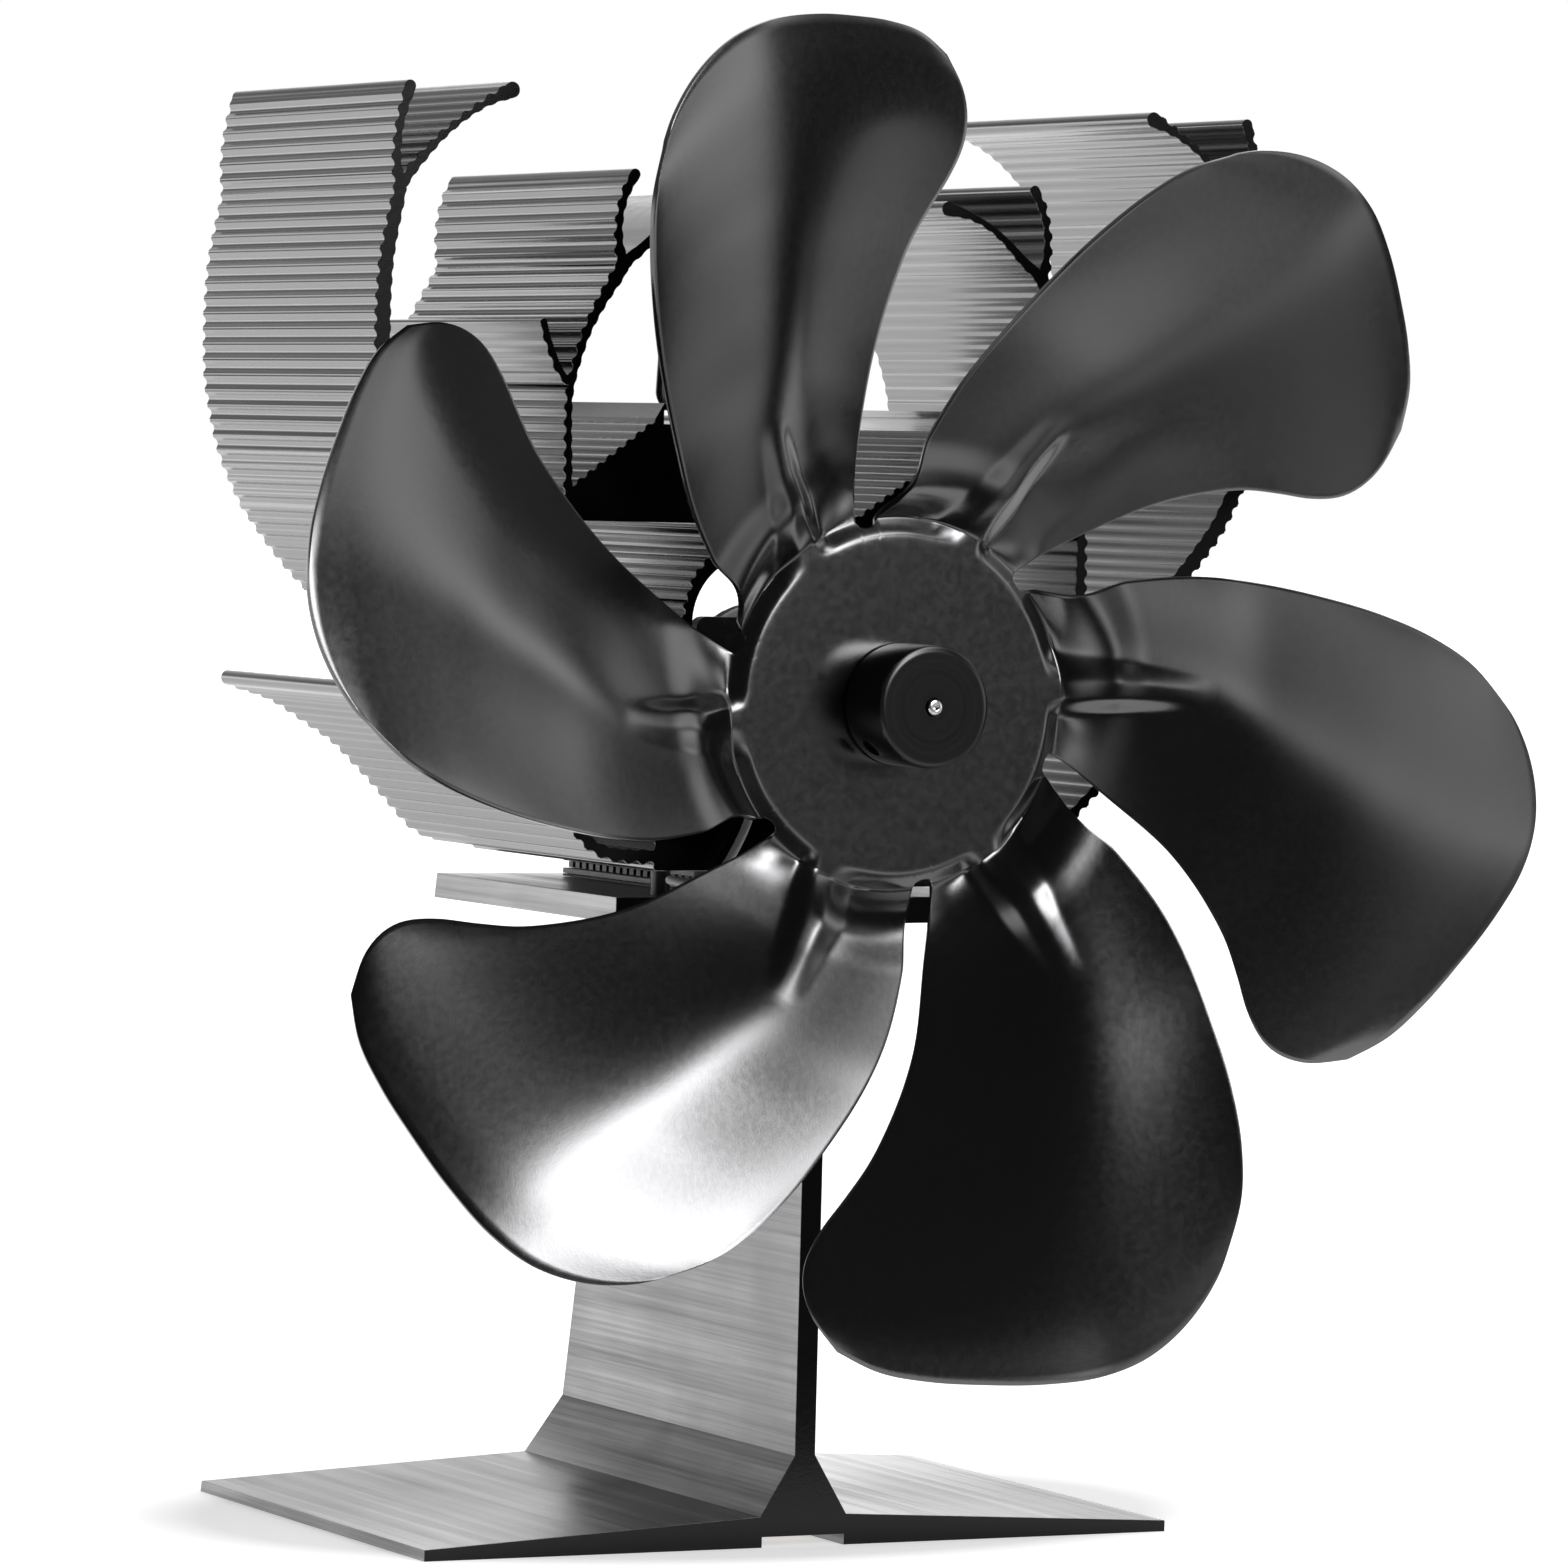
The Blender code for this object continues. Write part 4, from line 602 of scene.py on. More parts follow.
@dataclass(frozen=True)
class Finish:
    """One finish, with the colours, the gloss and the relief that its material shows.

    Lengths of the relief are metres. The mottle mixes the colour with the second one, dust lies on
    what faces up, and wear shows along edges.
    """

    name: str
    slot: str
    colour: Colour
    second: Colour
    roughness: tuple[float, float]
    metallic: float = 0.0
    pattern: Pattern = Pattern.GRAIN
    direction: Direction = Direction.NONE
    size: float = 0.0004
    depth: float = 0.000004
    coat: float = 0.0
    coat_roughness: float = 0.1
    specular: float = 0.5
    dust: float = 0.0
    wear: float = 0.0
    wear_colour: Colour = (0.35, 0.35, 0.36)
    anisotropy: float = 0.0
    # A dark colour painted on the faces whose normal runs along Y: painted shade on the extrusion's
    # ends.
    painted_end_shade: Colour | None = None

    def material(self) -> bpy.types.Material:
        """The finish as a material, made the first time that a piece asks for it.

        Returns:
            The material, whose shader is a Principled one.
        """
        found = bpy.data.materials.get(self.name)
        if found is not None:
            return found
        made = bpy.data.materials.new(self.name)
        made.use_nodes = True
        tree = made.node_tree
        shader = tree.nodes["Principled BSDF"]
        place = place_node(tree, "TexCoord", {}).outputs["Object"]
        relief = tree.nodes.new("ShaderNodeGroup")
        relief.node_tree = shared_effect(self.pattern)
        tree.links.new(place, relief.inputs["Vector"])
        relief.inputs["Stretch"].default_value = self.direction.value
        relief.inputs["Fineness"].default_value = 1 / self.size
        relief.inputs["Depth"].default_value = self.depth
        both = place_node(tree, "Math", {0: relief.outputs["Mask"], 1: relief.outputs["Mottle"]},
                          operation="MULTIPLY")
        shade = place_node(tree, "Mix", {0: both.outputs[0], 6: (*self.colour, 1),
                                         7: (*self.second, 1)}, data_type="RGBA").outputs[2]
        rough = place_node(tree, "MapRange", {0: relief.outputs["Mask"], 3: self.roughness[0],
                                              4: self.roughness[1]}).outputs[0]
        # Painted shade: the faces along Y take the dark end colour.
        if self.painted_end_shade:
            shade, rough = self.paint_end_shade(tree, shade, rough)
        if self.wear:
            shade, rough = self.worn(tree, place, shade, rough)
        if self.dust:
            shade, rough = self.dusty(tree, place, shade, rough)
        tree.links.new(shade, shader.inputs["Base Color"])
        tree.links.new(rough, shader.inputs["Roughness"])
        tree.links.new(relief.outputs["Normal"], shader.inputs["Normal"])
        shader.inputs["Metallic"].default_value = self.metallic
        shader.inputs["Specular IOR Level"].default_value = self.specular
        shader.inputs["Coat Weight"].default_value = self.coat
        shader.inputs["Coat Roughness"].default_value = self.coat_roughness
        shader.inputs["Anisotropic"].default_value = self.anisotropy
        return made

    def paint_end_shade(self, tree: bpy.types.NodeTree, shade: bpy.types.NodeSocket,
             rough: bpy.types.NodeSocket
             ) -> tuple[bpy.types.NodeSocket, bpy.types.NodeSocket]:
        """Paints shade on the ends of the extrusion, whose normal runs along Y, and smooths them.

        Args:
            tree: The material's tree.
            shade: The colour so far.
            rough: The roughness so far.

        Returns:
            The new colour and roughness.
        """
        normal = place_node(tree, "SeparateXYZ", {0: place_node(tree, "TexCoord", {}).outputs[1]})
        end = place_node(tree, "Math", {0: normal.outputs[1]}, operation="ABSOLUTE")
        share = place_node(tree, "MapRange", {0: end.outputs[0], 1: 0.90, 2: 0.97}).outputs[0]
        # The dark end colour is painted shade; the lower roughness is a smoother face.
        mixed = place_node(tree, "Mix", {0: share, 6: shade, 7: (*self.painted_end_shade, 1)}, data_type="RGBA")
        smoother = place_node(tree, "Mix", {0: share, 2: rough, 3: 0.2})
        return mixed.outputs[2], smoother.outputs[0]

    def worn(self, tree: bpy.types.NodeTree, place: bpy.types.NodeSocket,
             shade: bpy.types.NodeSocket, rough: bpy.types.NodeSocket
             ) -> tuple[bpy.types.NodeSocket, bpy.types.NodeSocket]:
        """Mixes the wear along edges into the colour.

        Args:
            tree: The material's tree.
            place: The Object coordinates.
            shade: The colour so far.
            rough: The roughness so far.

        Returns:
            The new colour and the same roughness.
        """
        worn = tree.nodes.new("ShaderNodeGroup")
        worn.node_tree = wear_effect()
        tree.links.new(place, worn.inputs["Vector"])
        share = place_node(tree, "Math", {0: worn.outputs["Mask"], 1: self.wear},
                           operation="MULTIPLY")
        mixed = place_node(tree, "Mix", {0: share.outputs[0], 6: shade,
                                         7: (*self.wear_colour, 1)}, data_type="RGBA")
        return mixed.outputs[2], rough

    def dusty(self, tree: bpy.types.NodeTree, place: bpy.types.NodeSocket,
              shade: bpy.types.NodeSocket, rough: bpy.types.NodeSocket
              ) -> tuple[bpy.types.NodeSocket, bpy.types.NodeSocket]:
        """Lays dust on what faces up, which is paler and duller than the finish.

        Args:
            tree: The material's tree.
            place: The Object coordinates.
            shade: The colour so far.
            rough: The roughness so far.

        Returns:
            The new colour and roughness.
        """
        dust = tree.nodes.new("ShaderNodeGroup")
        dust.node_tree = dust_effect()
        tree.links.new(place, dust.inputs["Vector"])
        share = place_node(tree, "Math", {0: dust.outputs["Mask"], 1: self.dust},
                           operation="MULTIPLY").outputs[0]
        mixed = place_node(tree, "Mix", {0: share, 6: shade, 7: (0.20, 0.195, 0.19, 1)},
                           data_type="RGBA")
        duller = place_node(tree, "Mix", {0: share, 2: rough, 3: 0.8})
        return mixed.outputs[2], duller.outputs[0]


BLADE_PAINT = Finish("Blade paint", "blade_black", (0.110, 0.110, 0.112), (0.135, 0.135, 0.137),
                     (0.14, 0.19), 0.95, size=0.00022, depth=0.0000024)
BOSS_BLACK = Finish("Turned boss black", "boss_black", (0.035, 0.035, 0.035), (0.05, 0.05, 0.05),
                    (0.14, 0.2), 0.8, Pattern.RINGS, size=0.00016, depth=0.0000012)
# The dark colour for the ends along Y is painted shade.
SINK_ANODISED = Finish("Sink anodised black", "sink_black", (0.22, 0.22, 0.223),
                       (0.29, 0.29, 0.293), (0.16, 0.26), 0.97, Pattern.LINES, Direction.ALONG_Y,
                       size=0.0003, depth=0.000004, dust=0.12, painted_end_shade=(0.02, 0.02, 0.02))
# The dark colour for the ends along Y is painted shade.
STAND_METAL = Finish("Stand brushed aluminium", "stand_aluminium", (0.16, 0.16, 0.162),
                     (0.62, 0.62, 0.623), (0.28, 0.44), 1.0, Pattern.LINES, Direction.ALONG_Y,
                     size=0.0005, depth=0.000009, anisotropy=0.4, painted_end_shade=(0.02, 0.02, 0.02))
PLATE_BLACK = Finish("Plate black", "plate_black", (0.018, 0.018, 0.018), (0.03, 0.03, 0.03),
                     (0.35, 0.5), 0.2, size=0.0003, depth=0.000006, wear=0.3)
SCREW_STEEL = Finish("Screw steel", "steel", (0.34, 0.34, 0.35), (0.5, 0.5, 0.5), (0.25, 0.4),
                     1.0, size=0.0002, wear=0.5, wear_colour=(0.7, 0.7, 0.7))
DARK_STEEL = Finish("Dark steel", "steel_dark", (0.06, 0.06, 0.062), (0.10, 0.10, 0.10),
                    (0.3, 0.45), 0.9, size=0.0002, wear=0.6)
HANDLE_WIRE = Finish("Handle wire", "handle_wire", (0.10, 0.10, 0.102), (0.18, 0.18, 0.18),
                     (0.22, 0.36), 1.0, Pattern.LINES, Direction.ALONG_Z, size=0.00015,
                     depth=0.000004)
BIMETAL = Finish("Bimetal strip", "bimetal", (0.52, 0.46, 0.38), (0.40, 0.34, 0.30), (0.3, 0.5),
                 1.0, Pattern.LINES, Direction.ALONG_Y, size=0.0003)
THERMAL_PAD = Finish("Thermal pad", "thermal_pad", (0.30, 0.30, 0.30), (0.40, 0.40, 0.40),
                     (0.7, 0.85), 0.0, size=0.0005, depth=0.00002)
CERAMIC = Finish("Module ceramic", "module_plate", (0.62, 0.62, 0.60), (0.70, 0.70, 0.68),
                 (0.42, 0.55), 0.0, size=0.0002, depth=0.000004)
PELLET = Finish("Pellet alloy", "pellet_dark", (0.07, 0.07, 0.075), (0.16, 0.16, 0.165),
                (0.35, 0.55), 0.8, size=0.0003, depth=0.00001)
LEAD_SLEEVE = Finish("Lead sleeve", "lead_sleeve", (0.42, 0.42, 0.42), (0.50, 0.50, 0.50),
                     (0.42, 0.55), 0.0, size=0.0004, depth=0.000008)
LEAD_SLEEVE_DARK = Finish("Lead sleeve dark", "lead_sleeve", (0.03, 0.03, 0.03),
                          (0.05, 0.05, 0.05), (0.42, 0.55), 0.0, size=0.0004, depth=0.000008)
WASHER = Finish("Washer plastic", "washer_plastic", (0.45, 0.44, 0.41), (0.52, 0.51, 0.48),
                (0.5, 0.6), 0.0, size=0.0004, depth=0.000006)
MOTOR_STEEL = Finish("Motor can steel", "motor_steel", (0.42, 0.42, 0.43), (0.55, 0.55, 0.55),
                     (0.22, 0.36), 1.0, Pattern.LINES, Direction.ALONG_Y, size=0.0004,
                     depth=0.000004)
CAP_PLASTIC = Finish("End cap plastic", "cap_plastic", (0.55, 0.55, 0.53), (0.62, 0.62, 0.60),
                     (0.42, 0.55), 0.0, size=0.0004, depth=0.00001)
BRONZE = Finish("Sintered bronze", "bronze", (0.40, 0.26, 0.14), (0.52, 0.36, 0.20), (0.4, 0.55),
                1.0, size=0.00012, depth=0.000012)
FERRITE = Finish("Ferrite magnet", "ferrite", (0.035, 0.035, 0.037), (0.06, 0.06, 0.06),
                 (0.5, 0.7), 0.1, size=0.0002, depth=0.00001)
CARBON = Finish("Carbon brush", "carbon", (0.04, 0.04, 0.04), (0.07, 0.07, 0.07), (0.5, 0.65),
                0.3, size=0.0001, depth=0.000006)
TERMINAL = Finish("Terminal brass", "terminal_brass", (0.62, 0.47, 0.22), (0.72, 0.58, 0.30),
                  (0.25, 0.4), 1.0, Pattern.LINES, Direction.ALONG_Y, size=0.0002)
SHAFT_STEEL = Finish("Shaft steel", "steel", (0.62, 0.62, 0.62), (0.74, 0.74, 0.74), (0.12, 0.22),
                     1.0, Pattern.RINGS, size=0.00012, depth=0.000002)
ARMATURE = Finish("Armature laminations", "steel_dark", (0.28, 0.28, 0.29), (0.12, 0.12, 0.12),
                  (0.35, 0.5), 1.0, Pattern.LINES, Direction.ALONG_X, size=0.00035, depth=0.00002)
COPPER = Finish("Enamelled copper", "copper", (0.48, 0.18, 0.07), (0.62, 0.26, 0.11), (0.22, 0.34),
                1.0, Pattern.LINES, Direction.ALONG_X, size=0.0002, depth=0.00002)


# Sub-assemblies


@dataclass(frozen=True)
class Arm:
    """One arm of the heat sink's left side, in millimetres from the hub's line, root first.

    The thickness is given at shares of the length. The ribs' strength is that on the left of the
    path and that on its right.
    """

    name: str
    path: Rows
    thickness: Rows
    ribs: tuple[float, float] = (1.0, 0.4)


@dataclass
class HeatSink:
    """The black ribbed extrusion: core, tunnel, middle fin, four curved arms and two low ones."""

    pitch: float = 0.0020
    core_pitch: float = 0.0017
    relief: float = 0.0005
    samples: int = 12
    chamfer: float = 0.00006
    crest_power: float = 1.3
    groove: float = 0.26
    groove_width: float = 0.055
    tunnel_half: float = 0.0195
    tunnel_rise: tuple[float, float] = (0.0184, -0.013)
    tunnel_corners: tuple[float, float] = (0.0088, 0.002)
    valley: Rows = ((-0.004, 0.0238), (-0.0210, 0.0352))
    hook: Rows = ((-0.0210, 0.0352), (-0.0243, 0.0352), (-0.0243, 0.0370), (-0.0210, 0.0370),
                  (-0.0210, 0.0379), (-0.0243, 0.0379))
    slope: Rows = ((-0.0254, 0.0361), (-0.0378, 0.0268))
    shelf: Rows = ((-0.0378, 0.0268), (-0.0378, 0.0225))
    side_wall: Rows = ((-0.0187, 0.0225), (-0.0181, 0.0205), (-0.0175, 0.0186),
                       (-0.0184, 0.0172), (-0.0196, 0.0158), (-0.0204, 0.0134),
                       (-0.0210, 0.0112), (-0.0217, 0.0030), (-0.0229, -0.0080),
                       (-0.0243, -0.0192))
    sole: Rows = ((-0.0243, -0.0223), (-0.0240, -0.0226))
    fin_half: float = 0.0015
    fin_corner: float = 0.0009
    fin_top: float = 0.0366
    lug_rise: tuple[float, float] = (0.0355, 0.0400)
    lug_half_depth: float = 0.006
    boss_place: float = 0.0174
    boss_half: tuple[float, float] = (0.0027, 0.0030)
    boss_corner: float = 0.0004
    boss_setback: float = 0.0027
    arms: tuple[Arm, ...] = (
        Arm("outer arm", ((-22.8, -12.8), (-29.3, -6.9), (-37.4, 1.6), (-45.0, 8.9), (-50.8, 14.3),
                          (-53.7, 17.35), (-56.3, 20.5), (-58.5, 23.5), (-60.15, 26.6),
                          (-61.6, 29.7), (-62.6, 32.8), (-63.3, 35.9), (-63.95, 39.2),
                          (-64.25, 42.6), (-64.35, 47.5), (-64.3, 51.0), (-64.05, 55.0),
                          (-63.6, 58.0), (-62.95, 61.3), (-62.5, 63.6), (-62.45, 64.6),
                          (-62.75, 66.2), (-62.95, 68.4), (-62.8, 71.0), (-62.3, 73.8),
                          (-61.3, 77.2)),
            ((0, 1.9), (0.84, 1.9), (0.875, 1.8), (0.90, 1.35), (0.97, 1.25), (1, 1.6))),
        Arm("outer prong", ((-62.4, 64.4), (-60.6, 66.9), (-59.0, 68.7), (-57.3, 70.5),
                            (-55.5, 72.1), (-53.6, 73.6), (-51.7, 74.9), (-49.8, 76.0),
                            (-47.0, 77.3)), ((0, 1.5), (0.9, 1.55), (1, 2.1))),
        Arm("inner arm", ((-37.8, 2.0), (-37.8, 26.7), (-37.95, 33.0), (-37.95, 38.0),
                          (-37.5, 40.9), (-36.75, 43.6), (-35.9, 46.2), (-34.75, 48.7),
                          (-33.3, 51.3), (-31.9, 53.5), (-30.95, 55.2), (-31.0, 56.2),
                          (-31.35, 58.2), (-31.45, 60.4), (-31.15, 62.9), (-30.4, 65.2),
                          (-29.3, 67.2)),
            ((0, 1.8), (0.78, 1.8), (0.81, 2.0), (0.85, 1.4), (0.95, 1.2), (1, 1.5))),
        Arm("inner prong", ((-31.0, 55.2), (-29.5, 56.6), (-28.2, 57.6), (-26.9, 58.8),
                            (-25.4, 60.2), (-23.6, 61.6), (-21.6, 62.8), (-19.4, 63.7),
                            (-16.5, 64.4)), ((0, 1.6), (0.9, 1.5), (1, 2.0)), (0, 0.35)),
        Arm("side prong", ((-37.6, 40.0), (-38.9, 41.0), (-39.8, 42.4), (-40.6, 44.2),
                           (-41.3, 46.0), (-41.8, 47.8)), ((0, 1.1), (1, 1.0)), (0.7, 0)),
        Arm("low arm", ((-22.8, -20.8), (-29.0, -20.6), (-32.0, -19.9), (-34.0, -18.6),
                        (-36.7, -15.9), (-39.4, -13.2), (-42.3, -10.5), (-45.3, -7.8),
                        (-49.7, -5.0), (-53.85, -2.4), (-57.1, -1.05), (-60.8, 0.1)),
            ((0, 1.8), (0.93, 1.7), (1, 2.0))),
    )

    def crests(self, place: np.ndarray) -> np.ndarray:
        """Height of the ribs: a cosine wave to a power, with a fine groove along each crest.

        Args:
            place: Distance along the path in pitches.

        Returns:
            The height at each place, which is 0 in the grooves.
        """
        share = place % 1
        wave = (0.5 - 0.5 * np.cos(2 * np.pi * share)) ** self.crest_power
        groove = self.groove * np.exp(-((share - 0.5) / self.groove_width) ** 2)
        return self.relief * (wave - groove)

    def strip(self, arm: Arm) -> np.ndarray:
        """The outline of an arm: its path moved to both sides by half its thickness and its ribs.

        The ribs fade out towards the tip, which is a half circle.

        Args:
            arm: The arm's path, thickness and ribs.

        Returns:
            The closed outline, from the hub's line.
        """
        line = smooth_path(arm.path, self.pitch / self.samples / MILLIMETRE) * MILLIMETRE
        across = side_normals(line)
        share = np.linspace(0, 1, len(line))
        half = smooth_value(arm.thickness, 1, share) * MILLIMETRE / 2
        ribs = (self.crests(np.arange(len(line)) / self.samples) - self.relief / 2) * ease(
            np.arange(len(line))[::-1] / self.samples)
        left, right = (line + side * (half + strength * ribs)[:, None] * across
                       for side, strength in zip((1, -1), arm.ribs))
        angle = np.radians(np.linspace(75, -75, 11))
        ahead = np.array([across[-1][1], -across[-1][0]])
        tip = line[-1] + half[-1] * (np.cos(angle)[:, None] * ahead
                                     + np.sin(angle)[:, None] * across[-1])
        return np.vstack([left[:-1], tip, right[-2::-1]])

    def ribbed_wall(self, *points: tuple[float, float]) -> np.ndarray:
        """A wall with grooves on its left: the smooth line plus the wave along its normal."""
        line = smooth_path(points, self.core_pitch / self.samples)
        ribs = self.crests(np.arange(len(line)) / self.samples)
        return (line + ribs[:, None] * side_normals(line))[:-1]

    def core(self) -> np.ndarray:
        """The outline of the core: valley, hooked shoulder, slope, shelf, side wall and sole.

        The left side is the parts one after the other, and the right side mirrors it.

        Returns:
            The closed outline, from the hub's line.
        """
        parts = (self.ribbed_wall(*self.valley), self.hook, self.ribbed_wall(*self.slope),
                 self.shelf, self.ribbed_wall(*self.side_wall), self.sole)
        left = np.vstack(parts)
        return np.vstack([left, mirrored(left)])

    def tunnel(self) -> np.ndarray:
        """The outline of the motor's tunnel: a rectangle with wide upper corners."""
        upper, lower = self.tunnel_rise
        return rounded_box((0, (upper + lower) / 2), (self.tunnel_half, (upper - lower) / 2),
                           self.tunnel_corners, (16, 6))

    def fin(self, foot: float, top: float) -> np.ndarray:
        """The outline of the middle fin between two heights, with a rounded top."""
        across, height = self.fin_half - self.fin_corner, top - self.fin_corner
        return np.vstack([[(-self.fin_half, foot), (self.fin_half, foot)],
                          corner_arc((across, height), self.fin_corner, 0),
                          corner_arc((-across, height), self.fin_corner, 90)])

    def piece(self, name: str, outlines: list[np.ndarray], holes: list[np.ndarray],
              depths: tuple[float, float], nodes: Sequence[str] = ()) -> None:
        """Makes a piece of the extrusion, whose edges stay sharp from 40 degrees.

        Args:
            name: Name of the piece.
            outlines: Closed outlines that are joined, from the hub's line.
            holes: Closed outlines that are left out.
            depths: Y of the front and of the back.
            nodes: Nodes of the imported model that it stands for.
        """
        lift = (0, HUB_HEIGHT)
        points, faces = section_shape([outline + lift for outline in outlines],
                                      [hole + lift for hole in holes], depths, self.chamfer)
        make_piece(name, points, faces, SINK_ANODISED, "frame", nodes, sharp=40)

    def build(self) -> None:
        """Builds the extrusion, the lug that holds the handle and the bosses in the tunnel."""
        arms = [self.strip(arm) for arm in self.arms]
        outlines = [self.core(), self.fin(0, self.fin_top), *arms, *map(mirrored, arms)]
        self.piece("heat_sink_ribbed", outlines, [self.tunnel()], (SINK_FRONT, SINK_BACK),
                   ["heat_sink"])
        low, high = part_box("handle")
        middle = (low[1] + high[1]) / 2
        self.piece("handle_lug", [self.fin(*self.lug_rise)], [],
                   (middle - self.lug_half_depth, middle + self.lug_half_depth))
        for side, name in ((-1, "left"), (1, "right")):
            boss = rounded_box((side * self.boss_place, 0), self.boss_half,
                               (self.boss_corner, self.boss_corner), (4, 4))
            self.piece(f"tunnel_boss_{name}", [boss], [], (SINK_FRONT + self.boss_setback, SINK_BACK))


@dataclass
class FanWheel:
    """The pressed sheet: a raised disc with six fingers, and six twisted and bowed blades."""

    radius: float = 0.090
    root: float = 0.0240
    bore: float = 0.0045
    forward: float = 0.0166
    sheet: float = 0.0008
    step: float = 0.0012
    disc_edge: float = 0.0230
    wall: float = 0.0011
    fillet: float = 0.3
    leading: Rows = ((0, -68.0, 0), (0.03, -63.8, 0.139), (0.18, -58.3, 0.386),
                     (0.314, -53.9, 0.566), (0.438, -49.5, 0.717), (0.569, -45.2, 0.837),
                     (0.705, -41.2, 0.934), (0.821, -37.8, 0.982), (0.909, -34.9, 0.988),
                     (1, -31.0, 0.946))
    trailing: Rows = ((0, -15.2, 0), (0.159, -9.9, -0.042), (0.369, -4.9, 0.018),
                      (0.516, -0.9, -0.006), (0.59, 1.2, -0.036), (0.67, 3.9, -0.084),
                      (0.744, 6.2, -0.133), (0.833, 7.5, -0.151), (0.926, 6.4, -0.108),
                      (1, 3.8, -0.042))
    tip: Rows = ((0, 0.911), (0.03, 0.926), (0.08, 0.946), (0.167, 0.973), (0.276, 0.994),
                 (0.40, 1), (0.537, 0.992), (0.672, 0.980), (0.793, 0.970), (0.904, 0.956),
                 (1, 0.930))
    chords: int = 81
    spans: int = 73
    ridge: Rows = ((0, 0.8, 0.36, 3.5, 2.0), (0.2, 2.5, 0.43, 8.0, 5.5), (0.4, 3.6, 0.48, 9.0, 9.5),
                   (0.6, 3.85, 0.48, 10.3, 10.3), (0.8, 3.95, 0.45, 10.5, 9.0),
                   (1, 3.9, 0.40, 11.0, 7.4))
    ridge_round: float = 0.11
    root_fade: float = 0.12
    blades: int = 6
    slot_depth: float = 0.0009
    slot_points: int = 10
    rim: float = 0.00016
    finger_start: float = 0.0215
    finger_length: float = 0.0205
    finger_bearing: float = 35.6
    finger_turn: float = 3.4
    finger_fade: float = 2.2
    trailing_side: tuple[float, float] = (0.0026, 0.0014)
    trailing_wall: tuple[float, float] = (0.0011, 0.0008)
    leading_side: tuple[float, float] = (0.0034, 0.0016)
    leading_wall: tuple[float, float] = (0.0020, 0.0010)

    def finger_height(self, radius: np.ndarray, angle: np.ndarray) -> np.ndarray:
        """How far the sheet is pressed forward at a place: the disc joined with the finger.

        The disc's share is a ramp across its wall. The finger's share is the product of a ramp on
        each side and a height that runs out at its tip. The sides and their walls run from a width
        at the start to one at the tip. The two shares are joined as one less the product of what
        each leaves.

        Args:
            radius: Distance from the hub's line.
            angle: Angle from the blade's axis in degrees, towards the trailing edge.

        Returns:
            The height, at most that of the disc.
        """
        disc = ramp((self.disc_edge - radius) / self.wall, self.fillet)
        run = np.clip((radius - self.finger_start) / self.finger_length, 0, 1)
        across = np.radians(angle + self.finger_bearing - self.finger_turn * run) * radius
        sides = ((self.trailing_side, self.trailing_wall, -1),
                 (self.leading_side, self.leading_wall, 1))
        finger = 1 - run ** self.finger_fade
        for side, wall, way in sides:
            width, slope = (first + (last - first) * run for first, last in (side, wall))
            finger = finger * ramp((width + way * across) / slope, self.fillet)
        return self.step * (1 - (1 - disc) * (1 - finger))

    def blade(self, axis: float) -> np.ndarray:
        """The grid of a blade's front face.

        A point's angle and forward reach run from those of the leading edge to those of the
        trailing edge in step with the chord. Its radius runs from the root to the tip's curve.

        Args:
            axis: Angle of the blade's axis in degrees.

        Returns:
            The points, span by span.
        """
        span = np.linspace(0, 1, self.spans) ** 1.15
        chord = np.linspace(0, 1, self.chords)
        span, chord = np.meshgrid(span, chord, indexing="ij")
        lead, trail = (smooth_value(edge, 1, span) for edge in (self.leading, self.trailing))
        angle = lead + (trail - lead) * chord
        first, last = self.tip[0][1], self.tip[-1][1]
        straight = first + (last - first) * chord
        crown = (smooth_value(self.tip, 1, chord) - straight) * span ** 4
        radius = (self.root + (self.radius * straight - self.root) * span + self.radius * crown)
        front, back = (smooth_value(edge, 2, span) for edge in (self.leading, self.trailing))
        reach = self.forward * (front + (back - front) * chord)
        reach += self.bend(span, chord) + self.finger_height(radius, angle)
        turn = np.radians(axis - angle)
        return np.stack([radius * np.cos(turn), SHEET_FRONT - reach,
                         HUB_HEIGHT + radius * np.sin(turn)], axis=-1)

    def bend(self, span: np.ndarray, chord: np.ndarray) -> np.ndarray:
        """The ridge pressed along a blade, which falls away to both edges.

        The sheet stands at the ridge's height less a slope times the distance from its crest.
        The distance is the root of its square and the square of the rounding, less the rounding.
        A row of the ridge gives a share of the span, the height in millimetres, the crest's share
        of the chord, and the slopes to the leading and the trailing edge. It fades in at the root.

        Args:
            span: Share of the way from root to tip.
            chord: Share of the way from the leading edge to the trailing edge.

        Returns:
            How far the sheet stands forward of the straight line between the edges.
        """
        height, crest, leading, trailing = (smooth_value(self.ridge, column, span)
                                            for column in (1, 2, 3, 4))
        slope = np.where(chord < crest, leading, trailing)
        away = np.hypot(chord - crest, self.ridge_round) - self.ridge_round
        return MILLIMETRE * ease(span / self.root_fade) * (height - slope * away)

